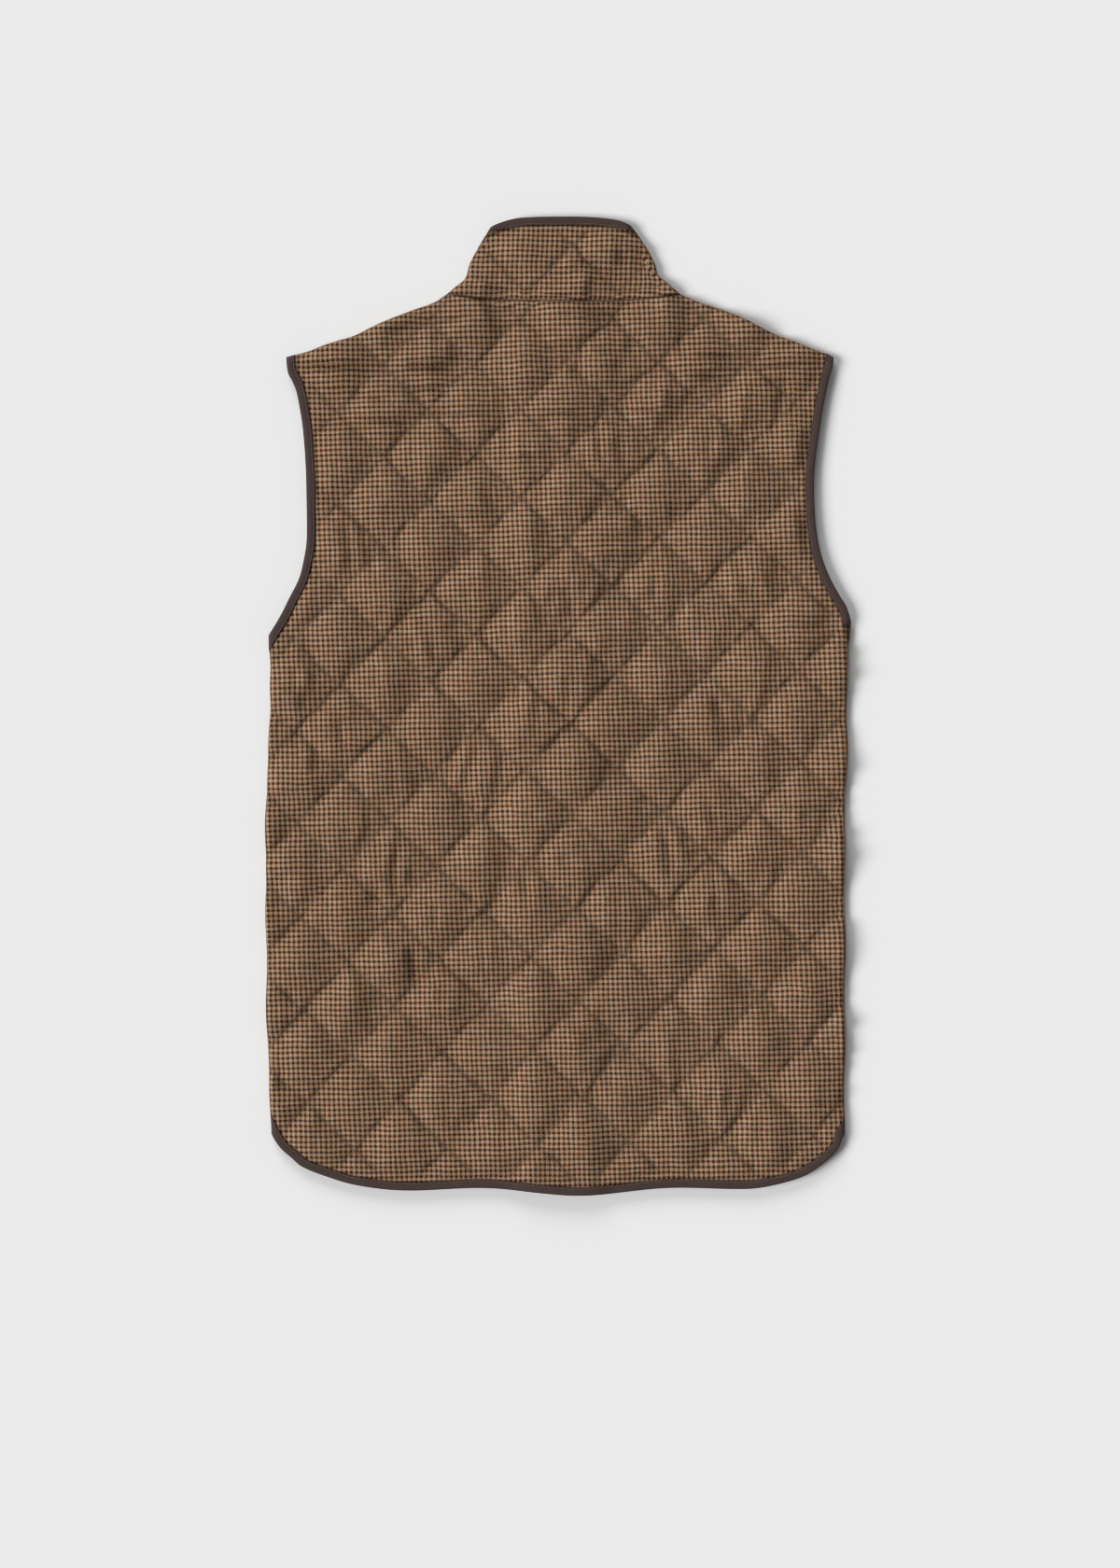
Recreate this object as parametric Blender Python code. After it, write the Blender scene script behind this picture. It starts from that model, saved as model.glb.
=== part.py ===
"""A quilted tweed vest laid flat on a surface with its back uppermost.

Metres, +Z up, the collar towards +Y, the underside at z = 0. The fronts lie flat below and
the quilted back lies on them. Side, shoulder and collar seams run along the folds, and the
armholes, hem, front edges and collar are bound with strips folded over the cloth's edge.
"""

import math

import bpy
import numpy as np
from mathutils import Vector
from mathutils.geometry import delaunay_2d_cdt

# ---- Cloth ----
SEAM_GAP = 0.0003
CLOTH = 0.0040            # wall of a plain panel, and the depth of a bound edge
PINCH_LOW = 0.0010        # the cloth inside a binding lies between these two levels
PINCH_HIGH = 0.0030
STITCH_WALL = 0.0030      # wall of the back where a quilting line holds it down
PUFF = 0.0056             # rise of the padding in the middle of a diamond
PUFF_POWER = 0.6
LEAST_WALL = 0.0022       # wall at the bottom of the deepest crease
PAD_ENDS = (0.006, 0.022) # the padding fades out between these distances from a bound edge

# ---- Folds along the sides and shoulders ----
FOLD_RADIUS = 0.0045
FOLD_LIP = 0.0012         # height of the seam's face at the outermost line
SCALLOP = 0.0022          # how far the quilting lines pull the fold inwards
SCALLOP_FADE = 0.020
SEAM_WALL = 0.45          # share of the wall's depth that is left at a seam

# ---- Binding ----
BINDING_WIDTH = 0.0070
BINDING_WALL = 0.0007
BINDING_ROUND = 0.0004
PINCH_END = 0.0079        # distance from the edge where the cloth swells again
PINCH_RAMP = 0.0005
LARGEST_SHEAR = 1.6       # slant of a binding's end where it meets a fold
SECTION_QUADS = ((0, 1, 6, 7), (1, 2, 5, 6), (2, 3, 4, 5))

# ---- Quilting of the back ----
DIAMOND_WIDTH = 0.0784
DIAMOND_HEIGHT = 0.07825
QUILT_MIDDLE = (0.0096, -0.0148)
QUILT_LEAN = -0.021       # sideways drift of the lines for each metre of length
QUILT_BOW = 0.035         # and for its square
QUILT_STRETCH = 0.65      # the diamonds grow slightly longer towards the hem
QUILT_TILT = 0.031        # rise of a row from left to right
TILT_FADES = (0.180, 0.345)
COLLAR_QUILT_MIDDLE = (0.0118, 0.3932)
QUILT_STEPS = (0.0, 0.16, 0.5, 0.84)

# ---- Closure ----
CLOSURE_X = 0.002
STUD_PLACES = (0.302, 0.235, 0.130, 0.025, -0.080, -0.185, -0.290)
STUD_CAP_RADIUS = 0.0060
STUD_POST_RADIUS = 0.0025
STUD_CAP_DEPTH = 0.0010
STUD_RECESS = 0.0002      # the cap lies this far above the surface that the vest rests on
STUD_SIDES = 12

# ---- Heights ----
BACK_REST = CLOTH + SEAM_GAP
LIFT = CLOTH + SEAM_GAP   # the upper front lies on the lower one by this much
LIFT_ENDS = (0.018, 0.042)
RIDGE_LEFT = (-0.050, -0.020)
RIDGE_RIGHT = (0.024, 0.054)
RIDGE_FADES = (0.356, 0.408)

# ---- Outlines. Each table runs anticlockwise seen from above. Columns: across, along. ----
BACK_HEM = (
    (-0.2452, -0.3660), (-0.2425, -0.3710), (-0.2370, -0.3787), (-0.2278, -0.3868),
    (-0.2190, -0.3942), (-0.1985, -0.4025), (-0.1725, -0.4100), (-0.1320, -0.4146), (-0.0620, -0.4125),
    (0.0070, -0.4184), (0.0355, -0.4180), (0.0940, -0.4124), (0.1630, -0.4132),
    (0.1870, -0.4095), (0.2100, -0.4025), (0.2230, -0.3945), (0.2335, -0.3860),
    (0.2402, -0.3785), (0.2430, -0.3712), (0.2457, -0.3660),
)
RIGHT_SIDE = (
    (0.2457, -0.3660), (0.2464, -0.3000), (0.2464, -0.2400), (0.2464, -0.1800), (0.2462, -0.1200),
    (0.2472, -0.0700), (0.2486, -0.0300), (0.2484, 0.0100), (0.2490, 0.0450), (0.2509, 0.0720),
)
RIGHT_ARMHOLE = (
    (0.2509, 0.0720), (0.2468, 0.0852), (0.2418, 0.0932), (0.2330, 0.1092), (0.2266, 0.1252),
    (0.2226, 0.1412), (0.2198, 0.1650), (0.2192, 0.1970), (0.2218, 0.2212), (0.2266, 0.2532),
    (0.2314, 0.2772), (0.2350, 0.2905), (0.2362, 0.2985),
)
RIGHT_SHOULDER = (
    (0.2362, 0.2985), (0.2290, 0.3022), (0.2114, 0.3092), (0.1914, 0.3172), (0.1730, 0.3252),
    (0.1562, 0.3332), (0.1378, 0.3412), (0.1210, 0.3466), (0.1050, 0.3522),
)
NECK_SEAM = (
    (0.1050, 0.3522), (0.0735, 0.3486), (0.0352, 0.3465), (-0.0180, 0.3467), (-0.0646, 0.3487),
    (-0.0948, 0.3527),
)
LEFT_SHOULDER = (
    (-0.0948, 0.3527), (-0.1050, 0.3466), (-0.1214, 0.3412), (-0.1398, 0.3332), (-0.1582, 0.3252),
    (-0.1774, 0.3172), (-0.2022, 0.3092), (-0.2230, 0.3015), (-0.2325, 0.2985),
)
LEFT_ARMHOLE = (
    (-0.2325, 0.2985), (-0.2310, 0.2852), (-0.2270, 0.2772), (-0.2238, 0.2692), (-0.2206, 0.2532),
    (-0.2182, 0.2372), (-0.2158, 0.2052), (-0.2150, 0.1732), (-0.2150, 0.1412), (-0.2174, 0.1252),
    (-0.2214, 0.1092), (-0.2294, 0.0932), (-0.2374, 0.0772), (-0.2477, 0.0601),
)
LEFT_SIDE = (
    (-0.2477, 0.0601), (-0.2474, 0.0300), (-0.2476, -0.0100), (-0.2496, -0.0500), (-0.2511, -0.1000),
    (-0.2511, -0.1500), (-0.2506, -0.2000), (-0.2502, -0.2600), (-0.2486, -0.3100), (-0.2452, -0.3660),
)
COLLAR_RIGHT_FOLD = (
    (0.1050, 0.3522), (0.0978, 0.3588), (0.0906, 0.3648), (0.0858, 0.3690), (0.0834, 0.3780),
    (0.0802, 0.3844), (0.0770, 0.3908), (0.0682, 0.4036), (0.0625, 0.4112),
)
COLLAR_TOP = (
    (0.0625, 0.4112), (0.0520, 0.4153), (0.0300, 0.4181), (0.0000, 0.4186), (-0.0300, 0.4178),
    (-0.0410, 0.4160), (-0.0500, 0.4132), (-0.0575, 0.4100),
)
COLLAR_LEFT_FOLD = (
    (-0.0575, 0.4100), (-0.0614, 0.4036), (-0.0654, 0.3972), (-0.0726, 0.3844), (-0.0758, 0.3780),
    (-0.0782, 0.3684), (-0.0798, 0.3652), (-0.0878, 0.3588), (-0.0948, 0.3527),
)

# The hidden fronts and the collar's front stretches, from the left fold to the closure and back.
FRONT_LEFT_EDGE = (
    (-0.2452, -0.3660), (-0.2350, -0.3735), (-0.2150, -0.3855), (-0.1800, -0.3960),
    (-0.1200, -0.4015), (-0.0500, -0.4020), (0.0020, -0.4020), (0.0125, -0.3985),
    (0.0170, -0.3880), (0.0170, -0.3700), (0.0170, -0.1600), (0.0170, 0.0500), (0.0170, 0.2666),
)
FRONT_LEFT_NECK = (
    (0.0170, 0.2666), (0.0020, 0.2664), (-0.0200, 0.2690), (-0.0450, 0.2800), (-0.0700, 0.3060),
    (-0.0860, 0.3330), (-0.0948, 0.3527),
)
FRONT_LEFT_ARMHOLE = (
    (-0.2325, 0.2985), (-0.2275, 0.2900), (-0.2160, 0.2700), (-0.2050, 0.2372), (-0.2000, 0.1900),
    (-0.2010, 0.1412), (-0.2090, 0.1092), (-0.2270, 0.0800), (-0.2477, 0.0601),
)
FRONT_RIGHT_ARMHOLE = (
    (0.2509, 0.0720), (0.2300, 0.0890), (0.2130, 0.1150), (0.2050, 0.1450), (0.2045, 0.1900),
    (0.2090, 0.2372), (0.2195, 0.2700), (0.2315, 0.2900), (0.2362, 0.2985),
)
FRONT_RIGHT_NECK = (
    (0.1050, 0.3522), (0.0940, 0.3330), (0.0760, 0.3060), (0.0500, 0.2800), (0.0240, 0.2690),
    (0.0020, 0.2664), (-0.0130, 0.2666),
)
FRONT_RIGHT_EDGE = (
    (-0.0130, 0.2666), (-0.0130, 0.0500), (-0.0130, -0.1600), (-0.0130, -0.3700),
    (-0.0130, -0.3880), (-0.0085, -0.3985), (0.0020, -0.4020), (0.0500, -0.4020),
    (0.1200, -0.4015), (0.1800, -0.3960), (0.2150, -0.3855), (0.2350, -0.3735), (0.2457, -0.3660),
)
COLLAR_LEFT_END = (
    (0.0170, 0.2666), (0.0170, 0.3000), (0.0160, 0.3260), (0.0070, 0.3365), (-0.0100, 0.3440),
    (-0.0300, 0.3600), (-0.0440, 0.3800), (-0.0510, 0.3950), (-0.0575, 0.4100),
)
COLLAR_RIGHT_END = (
    (0.0625, 0.4112), (0.0560, 0.3950), (0.0490, 0.3800), (0.0340, 0.3600), (0.0140, 0.3440),
    (-0.0030, 0.3365), (-0.0120, 0.3260), (-0.0130, 0.3000), (-0.0130, 0.2666),
)

# Main creases of the back. Columns: from across, along, to across, along, depth, half width.
CREASES = (
    (0.1660, 0.2970, 0.0830, 0.2290, 0.0030, 0.0110),
    (-0.1430, 0.2890, -0.0750, 0.2910, 0.0020, 0.0080),
    (-0.1260, 0.3290, -0.0430, 0.3450, 0.0018, 0.0080),
    (0.1380, 0.3010, 0.1620, 0.2890, 0.0016, 0.0080),
    (0.1820, 0.2890, 0.2100, 0.2890, 0.0018, 0.0080),
    (0.1740, 0.0650, 0.2400, 0.0700, 0.0020, 0.0090),
    (-0.0780, 0.2490, 0.0330, 0.2490, 0.0014, 0.0080),
    (-0.0420, 0.2120, -0.0180, 0.2120, 0.0012, 0.0080),
    (0.1940, -0.0910, 0.2420, -0.0910, 0.0014, 0.0080),
    (-0.1820, 0.1690, -0.1820, 0.1130, 0.0012, 0.0070),
    (0.0110, 0.1090, 0.0110, 0.0770, 0.0012, 0.0070),
    (-0.1860, 0.0000, -0.1860, -0.0510, 0.0014, 0.0070),
    (-0.1420, -0.0270, -0.1420, -0.0670, 0.0012, 0.0070),
    (-0.1480, -0.1150, -0.1480, -0.1510, 0.0016, 0.0070),
    (-0.0220, -0.1550, -0.0220, -0.1830, 0.0014, 0.0070),
    (0.1260, -0.1580, 0.1260, -0.1760, 0.0016, 0.0080),
    (-0.1300, -0.1990, -0.1300, -0.2350, 0.0012, 0.0070),
)

# ---- Distances of the mesh's rings from each kind of edge ----
BOUND, FOLD, BUTT = "bound", "fold", "butt"
QUILTED_RINGS = {
    BOUND: (0.0010, 0.0018, 0.0074, 0.0084, 0.0120),
    FOLD: (0.0, 0.0006, 0.0020, 0.0045, 0.0085),
    BUTT: (0.00015, 0.0007, 0.0020, 0.0045, 0.0080),
}
PLAIN_RINGS = {
    BOUND: (0.0010, 0.0074, 0.0084),
    FOLD: (0.0, 0.0014, 0.0045),
    BUTT: (0.00015, 0.0020, 0.0045),
}
INSIDE_RINGS = {
    BOUND: (0.0010, 0.0074, 0.0084),
    FOLD: (0.0, 0.0020, 0.0045),
    BUTT: (0.00015, 0.0030, 0.0060),
}
INSIDE_GRID = (0.060, 0.070)
BEND_SPACING = 0.030
BEND_CLEAR = 0.012
LATTICE_REACH = range(-9, 12)
LATTICE_STEPS = 12        # steps towards a point with given quilting coordinates

# ---- Spacing of the mesh's points along each kind of edge ----
HEM_SPACING = 0.016
FRONT_EDGE_SPACING = 0.017
SIDE_SPACING = 0.014
ARMHOLE_SPACING = 0.013
NECK_SPACING = 0.011
FRONT_NECK_SPACING = 0.013
COLLAR_SPACING = 0.009
COLLAR_END_SPACING = 0.010
LIFTED_END_SPACING = 0.006
SWELL_STATIONS = (0.0063, 0.0076)   # from a ring's corner to where a crossing binding ends
CURVE_PIECES = 10
STRAIGHT = 0.9998         # a stretch that bends less than this takes no points
LEAST_SHARE = 0.6         # of the spacing, between neighbouring points
SLOPE_REACH = 0.0015      # the slope at a point is taken over this much on each side
STATION_CLEAR = 0.0035
LEAST_CROSSING = 0.45
NEARLY_STRAIGHT = 0.3     # sine of the turn below which a corner counts as a straight line
CORNER_REACH = 0.060      # a ring's points are moved along a side only this close to its ends
INTERIOR_MARGIN = 0.0045
SMOOTH_ANGLE = 50.0       # degrees

TWEED = {"color": (0.205, 0.136, 0.080), "roughness": 0.9, "metallic": 0.0}
BINDING = {"color": (0.065, 0.042, 0.039), "roughness": 0.8, "metallic": 0.0}
METAL = {"color": (0.110, 0.085, 0.065), "roughness": 0.45, "metallic": 0.9}


def smooth_step(value, low, high):
    """Rise from 0 at low to 1 at high without a corner."""
    share = np.clip((value - low) / (high - low), 0.0, 1.0)
    return share * share * (3.0 - 2.0 * share)


# ---- Curves ----
def smooth_curve(table):
    """Points close together on the smooth line through a table's points."""
    points = np.array(table)
    before = np.vstack([2 * points[0] - points[1], points[:-1]])
    after = np.vstack([points[1:], 2 * points[-1] - points[-2]])
    spans = np.linalg.norm(np.diff(points, axis=0), axis=1)
    slopes = after - before
    slopes /= np.linalg.norm(slopes, axis=1)[:, None]
    curve = []
    for i, span in enumerate(spans):
        for share in np.arange(CURVE_PIECES) / CURVE_PIECES:
            square, cube = share ** 2, share ** 3
            curve.append(
                (2 * cube - 3 * square + 1) * points[i] + (3 * square - 2 * cube) * points[i + 1]
                + (cube - 2 * square + share) * span * slopes[i]
                + (cube - square) * span * slopes[i + 1]
            )
    curve.append(points[-1])
    return np.array(curve)


def lengths_along(curve):
    """The distance along a curve at each of its points."""
    return np.concatenate([[0.0], np.cumsum(np.linalg.norm(np.diff(curve, axis=0), axis=1))])


def scalloped(curve):
    """A fold's line, pulled in where the quilting lines meet it."""
    reached = lengths_along(curve)
    slope = np.gradient(curve, axis=0)
    slope /= np.linalg.norm(slope, axis=1)[:, None]
    inward = np.column_stack([-slope[:, 1], slope[:, 0]])
    ends = smooth_step(reached, 0.0, SCALLOP_FADE)
    ends *= smooth_step(reached[-1] - reached, 0.0, SCALLOP_FADE)
    pull = SCALLOP * (1.0 - puff_share(curve, back_lattice)) * ends
    return curve + inward * pull[:, None]


class Edge:
    """One side of a panel: its kind, its smooth line and the spacing of its points."""

    def __init__(self, kind, curve, spacing):
        self.kind = kind
        self.curve = curve
        self.reached = lengths_along(curve)
        self.length = self.reached[-1]
        self.spacing = spacing
        self.stations = self.place_stations(spacing)

    def place_stations(self, spacing):
        """Shares of the length where points go: closer on curves, far apart where it is straight."""
        knots = self.reached[::CURVE_PIECES]
        stations = [0.0]
        for start, end in zip(knots[:-1], knots[1:]):
            bend = self.at(start + SLOPE_REACH)[1] @ self.at(end - SLOPE_REACH)[1]
            pieces = 1 if bend > STRAIGHT else max(1, round((end - start) / spacing))
            stations += [start + (end - start) * (i + 1) / pieces for i in range(pieces)]
        kept = [0.0]
        least = LEAST_SHARE * spacing
        for station in stations[1:-1]:
            if station - kept[-1] > least and stations[-1] - station > least:
                kept.append(station)
        return np.array(kept + [stations[-1]]) / stations[-1]

    def at(self, distance):
        """The point and the inward normal at a distance along the edge."""
        distance = min(max(distance, 0.0), self.length)
        place = np.array([np.interp(distance, self.reached, self.curve[:, i]) for i in (0, 1)])
        near = max(distance - SLOPE_REACH, 0.0)
        far = min(distance + SLOPE_REACH, self.length)
        slope = np.array([
            np.interp(far, self.reached, self.curve[:, i])
            - np.interp(near, self.reached, self.curve[:, i]) for i in (0, 1)
        ])
        slope /= np.linalg.norm(slope)
        return place, np.array([-slope[1], slope[0]])

    def split_near_bindings(self, before, after):
        """Add points where the cloth swells beside a binding that crosses this edge's end."""
        extra = []
        for reach in SWELL_STATIONS:
            if before.kind == BOUND:
                slope = crossing(before.at(before.length)[1], self.at(0.0)[1])
                extra.append(reach / slope / self.length)
            if after.kind == BOUND:
                slope = crossing(self.at(self.length)[1], after.at(0.0)[1])
                extra.append(1.0 - reach / slope / self.length)
        clear = STATION_CLEAR / self.length
        free = [s for s in self.stations if all(abs(s - e) > clear for e in extra)]
        if free[0] > 0.0:
            free.insert(0, 0.0)
        if free[-1] < 1.0:
            free.append(1.0)
        self.stations = np.array(sorted(free + extra))


def crossing(first_normal, second_normal):
    """The sine of the angle between two sides that meet, kept away from nothing."""
    turn = first_normal[0] * second_normal[1] - first_normal[1] * second_normal[0]
    return max(abs(turn), LEAST_CROSSING)


def corner_offset(first_normal, second_normal, first, second):
    """The step from a corner that lies at two distances from the sides that meet there."""
    turn = first_normal[0] * second_normal[1] - first_normal[1] * second_normal[0]
    if abs(turn) < NEARLY_STRAIGHT:
        middle = first_normal + second_normal
        return middle / np.linalg.norm(middle) * (first + second) / 2
    return np.array([
        (first * second_normal[1] - second * first_normal[1]) / turn,
        (second * first_normal[0] - first * second_normal[0]) / turn,
    ])


def ring(edges, offsets, index):
    """The closed line of points that lies inside the edges by each kind's own distance."""
    corners = []
    for before, after in zip(edges[-1:] + edges[:-1], edges):
        place = after.curve[0]
        step = corner_offset(
            before.at(before.length)[1], after.at(0.0)[1],
            offsets[before.kind][index], offsets[after.kind][index],
        )
        corners.append((place, step))
    points = []
    for i, edge in enumerate(edges):
        place, step = corners[i]
        points.append(place + step)
        start_normal = edge.at(0.0)[1]
        first = step @ np.array([start_normal[1], -start_normal[0]])
        end_normal = edge.at(edge.length)[1]
        last = corners[(i + 1) % len(edges)][1] @ np.array([end_normal[1], -end_normal[0]])
        reach = min(CORNER_REACH, edge.length / 2)
        for station in edge.stations[1:-1] * edge.length:
            moved = first * max(1.0 - station / reach, 0.0)
            moved += last * max(1.0 - (edge.length - station) / reach, 0.0)
            place, normal = edge.at(station + moved)
            points.append(place + normal * offsets[edge.kind][index])
    return np.array(points)


def lengthened(curve, reach):
    """A line with a straight stretch added at each end."""
    first, last = curve[0] - curve[1], curve[-1] - curve[-2]
    return np.vstack([
        curve[0] + first / np.linalg.norm(first) * reach, curve,
        curve[-1] + last / np.linalg.norm(last) * reach,
    ])


def distance_to(points, curves):
    """The shortest distance from each point to a set of lines."""
    nearest = np.full(len(points), 1.0)
    for curve in curves:
        start, along = curve[:-1], np.diff(curve, axis=0)
        span = (along ** 2).sum(axis=1)
        away = points[:, None, :] - start[None, :, :]
        share = np.clip((away * along[None]).sum(axis=2) / span, 0.0, 1.0)
        gap = np.linalg.norm(away - share[:, :, None] * along[None], axis=2)
        nearest = np.minimum(nearest, gap.min(axis=1))
    return nearest


# ---- Quilting ----
def back_lattice(points):
    """Quilting coordinates of the back: a line of stitches runs where either is whole."""
    across = points[:, 0]
    down = points[:, 1] - QUILT_MIDDLE[1]
    column = across - (QUILT_MIDDLE[0] + QUILT_LEAN * down + QUILT_BOW * down ** 2)
    tilt = QUILT_TILT * (1.0 - 0.9 * smooth_step(points[:, 1], *TILT_FADES))
    down = down - tilt * column
    row = down / DIAMOND_HEIGHT + QUILT_STRETCH * down ** 2
    column = column / DIAMOND_WIDTH
    return column + row, column - row


def collar_lattice(points):
    """Quilting coordinates of the collar, whose lines don't meet those of the back."""
    column = (points[:, 0] - COLLAR_QUILT_MIDDLE[0]) / DIAMOND_WIDTH
    row = (points[:, 1] - COLLAR_QUILT_MIDDLE[1]) / DIAMOND_HEIGHT
    return column + row, column - row


def puff_share(points, lattice):
    """How full the padding is at each point, from 0 on a stitched line to 1 in a diamond."""
    first, second = lattice(points)
    return np.abs(np.sin(math.pi * first) * np.sin(math.pi * second)) ** PUFF_POWER


def crease_depth(points):
    """The depth of the creases at each point."""
    depth = np.zeros(len(points))
    for from_x, from_y, to_x, to_y, deep, wide in CREASES:
        line = np.array([(from_x, from_y), (to_x, to_y)])
        depth += deep * np.exp(-(distance_to(points, [line]) / wide) ** 2)
    return depth


# ---- Levels ----
def upper_level(points):
    """The height of the inner face of the back and of the collar's back stretch."""
    ridge = smooth_step(points[:, 0], *RIDGE_LEFT) * (1.0 - smooth_step(points[:, 0], *RIDGE_RIGHT))
    ridge *= 1.0 - smooth_step(points[:, 1], *RIDGE_FADES)
    return BACK_REST + LIFT * ridge


def lower_level(points, lifted):
    """The height of the outer face of a front, which rises where it lies on the other one."""
    if not lifted:
        return np.zeros(len(points))
    return LIFT * (1.0 - smooth_step(points[:, 0], *LIFT_ENDS))


def roundness(distance):
    """The share of a fold's height that is reached at a distance from its outermost line."""
    return np.sqrt(np.clip(1.0 - (1.0 - np.clip(distance / FOLD_RADIUS, 0.0, 1.0)) ** 2, 0.0, 1.0))


class Panel:
    """A piece of padded cloth: its sides, and whether it lies in the upper or lower layer."""

    def __init__(self, name, sides, upper, lattice=None, lifted=False):
        self.name = name
        self.edges = [Edge(kind, curve, spacing) for kind, curve, spacing in sides]
        self.upper = upper
        self.lattice = lattice
        self.lifted = lifted
        count = len(self.edges)
        for i, edge in enumerate(self.edges):
            if edge.kind != BOUND:
                edge.split_near_bindings(self.edges[i - 1], self.edges[(i + 1) % count])

    def distances(self, points, kind):
        """Distances to the panel's edges of one kind. A bound edge counts past its ends."""
        curves = [edge.curve for edge in self.edges if edge.kind == kind]
        if kind == BOUND:
            curves = [lengthened(curve, LARGEST_SHEAR * PINCH_END) for curve in curves]
        return distance_to(points, curves)

    def base(self, points):
        """The height of the panel's lower side."""
        if self.upper:
            return upper_level(points)
        return lower_level(points, self.lifted)

    def heights(self, points):
        """The heights of the upper and lower faces at each point."""
        bound = self.distances(points, BOUND)
        fold = self.distances(points, FOLD)
        butt = self.distances(points, BUTT)
        base = self.base(points)
        pinch = 1.0 - smooth_step(bound, PINCH_END - PINCH_RAMP / 2, PINCH_END + PINCH_RAMP / 2)
        seam = SEAM_WALL + (1.0 - SEAM_WALL) * roundness(butt)
        if self.upper:
            padded = smooth_step(bound, *PAD_ENDS)
            wall = np.full(len(points), STITCH_WALL)
            wall += PUFF * puff_share(points, self.lattice) * padded
            if self.lattice is back_lattice:
                wall -= crease_depth(points) * padded
            wall = np.maximum(wall, LEAST_WALL)
            outer = base + np.maximum(wall * seam * roundness(fold), FOLD_LIP)
            inner = base
        else:
            inner = base + CLOTH
            outer = inner - np.maximum(CLOTH * seam * roundness(fold), FOLD_LIP)
        top, bottom = (outer, inner) if self.upper else (inner, outer)
        top = top + (base + PINCH_HIGH - top) * pinch
        bottom = bottom + (base + PINCH_LOW - bottom) * pinch
        return top, bottom

    def interior_points(self, quilted, outline):
        """Points inside the last ring, on the quilting's own grid or a coarse one, and the
        lines between them where the coarse face bends."""
        low, high = outline.min(axis=0), outline.max(axis=0)
        links = []
        if quilted:
            steps = [i + step for i in LATTICE_REACH for step in QUILT_STEPS]
            points = from_lattice(np.array([(u, v) for u in steps for v in steps]), self.lattice)
        else:
            rows = np.arange(low[1], high[1], INSIDE_GRID[1])
            plain = [(x, y) for x in np.arange(low[0], high[0], INSIDE_GRID[0]) for y in rows]
            bends = RIDGE_LEFT + RIDGE_RIGHT if self.upper else LIFT_ENDS if self.lifted else ()
            plain = [(x, y) for x, y in plain if all(abs(x - bend) > BEND_CLEAR for bend in bends)]
            rows = np.arange(low[1], high[1], BEND_SPACING)
            starts = [len(plain) + i * len(rows) for i in range(len(bends))]
            links = [start + j for start in starts for j in range(len(rows) - 1)]
            points = np.array(plain + [(x, y) for x in bends for y in rows])
        clear = distance_to(points, [np.vstack([outline, outline[:1]])]) > INTERIOR_MARGIN
        kept = contains(outline, points) & clear
        places = np.cumsum(kept) - 1
        links = [(places[i], places[i + 1]) for i in links if kept[i] and kept[i + 1]]
        return points[kept], links

    def face(self, ring_table, quilted):
        """Rings and filling of one face: plan points, and triangles anticlockwise from above."""
        count = len(ring_table[BOUND])
        rings = [ring(self.edges, ring_table, i) for i in range(count)]
        size = len(rings[0])
        points = np.vstack(rings)
        faces = []
        for i in range(count - 1):
            for j in range(size):
                k = (j + 1) % size
                faces.append((i * size + j, i * size + k, (i + 1) * size + k, (i + 1) * size + j))
        outline = rings[-1]
        extra, links = self.interior_points(quilted, outline)
        loop = [(i, (i + 1) % size) for i in range(size)]
        loop += [(int(size + i), int(size + j)) for i, j in links]
        flat = [Vector(point) for point in np.vstack([outline, extra])]
        found, _, triangles, origins, _, _ = delaunay_2d_cdt(flat, loop, [], 1, 1e-7)
        if len(found) != len(flat):
            raise ValueError(f"{self.name}: the outline crosses itself")
        start = (count - 1) * size
        places = [start + origin[0] for origin in origins]
        faces += [tuple(places[v] for v in triangle) for triangle in triangles]
        return np.vstack([points, extra]), faces, size

    def build(self):
        """Make the panel's solid."""
        outer_rings = QUILTED_RINGS if self.upper else PLAIN_RINGS
        top_rings, bottom_rings = (
            (outer_rings, INSIDE_RINGS) if self.upper else (INSIDE_RINGS, outer_rings)
        )
        top_plan, top_faces, size = self.face(top_rings, self.upper)
        bottom_plan, bottom_faces, _ = self.face(bottom_rings, False)
        top = np.column_stack([top_plan, self.heights(top_plan)[0]])
        bottom = np.column_stack([bottom_plan, self.heights(bottom_plan)[1]])
        shift = len(top)
        faces = list(top_faces)
        faces += [tuple(shift + v for v in reversed(face)) for face in bottom_faces]
        for j in range(size):
            k = (j + 1) % size
            faces.append((j, shift + j, shift + k, k))
        return new_object(self.name, np.vstack([top, bottom]), faces, TWEED)


def from_lattice(shares, lattice):
    """Plan points with the given quilting coordinates, found by stepping towards them."""
    middle = QUILT_MIDDLE if lattice is back_lattice else COLLAR_QUILT_MIDDLE
    points = np.column_stack([
        middle[0] + (shares[:, 0] + shares[:, 1]) / 2 * DIAMOND_WIDTH,
        middle[1] + (shares[:, 0] - shares[:, 1]) / 2 * DIAMOND_HEIGHT,
    ])
    for _ in range(LATTICE_STEPS):
        first, second = lattice(points)
        missing = shares - np.column_stack([first, second])
        points[:, 0] += (missing[:, 0] + missing[:, 1]) / 2 * DIAMOND_WIDTH
        points[:, 1] += (missing[:, 0] - missing[:, 1]) / 2 * DIAMOND_HEIGHT
    return points


def contains(outline, points):
    """Which points lie inside a closed line."""
    inside = np.zeros(len(points), bool)
    for (x1, y1), (x2, y2) in zip(outline, np.roll(outline, -1, axis=0)):
        crosses = (y1 > points[:, 1]) != (y2 > points[:, 1])
        with np.errstate(divide="ignore", invalid="ignore"):
            at = x1 + (points[:, 1] - y1) * (x2 - x1) / (y2 - y1)
        inside ^= crosses & (points[:, 0] < at)
    return inside


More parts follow.
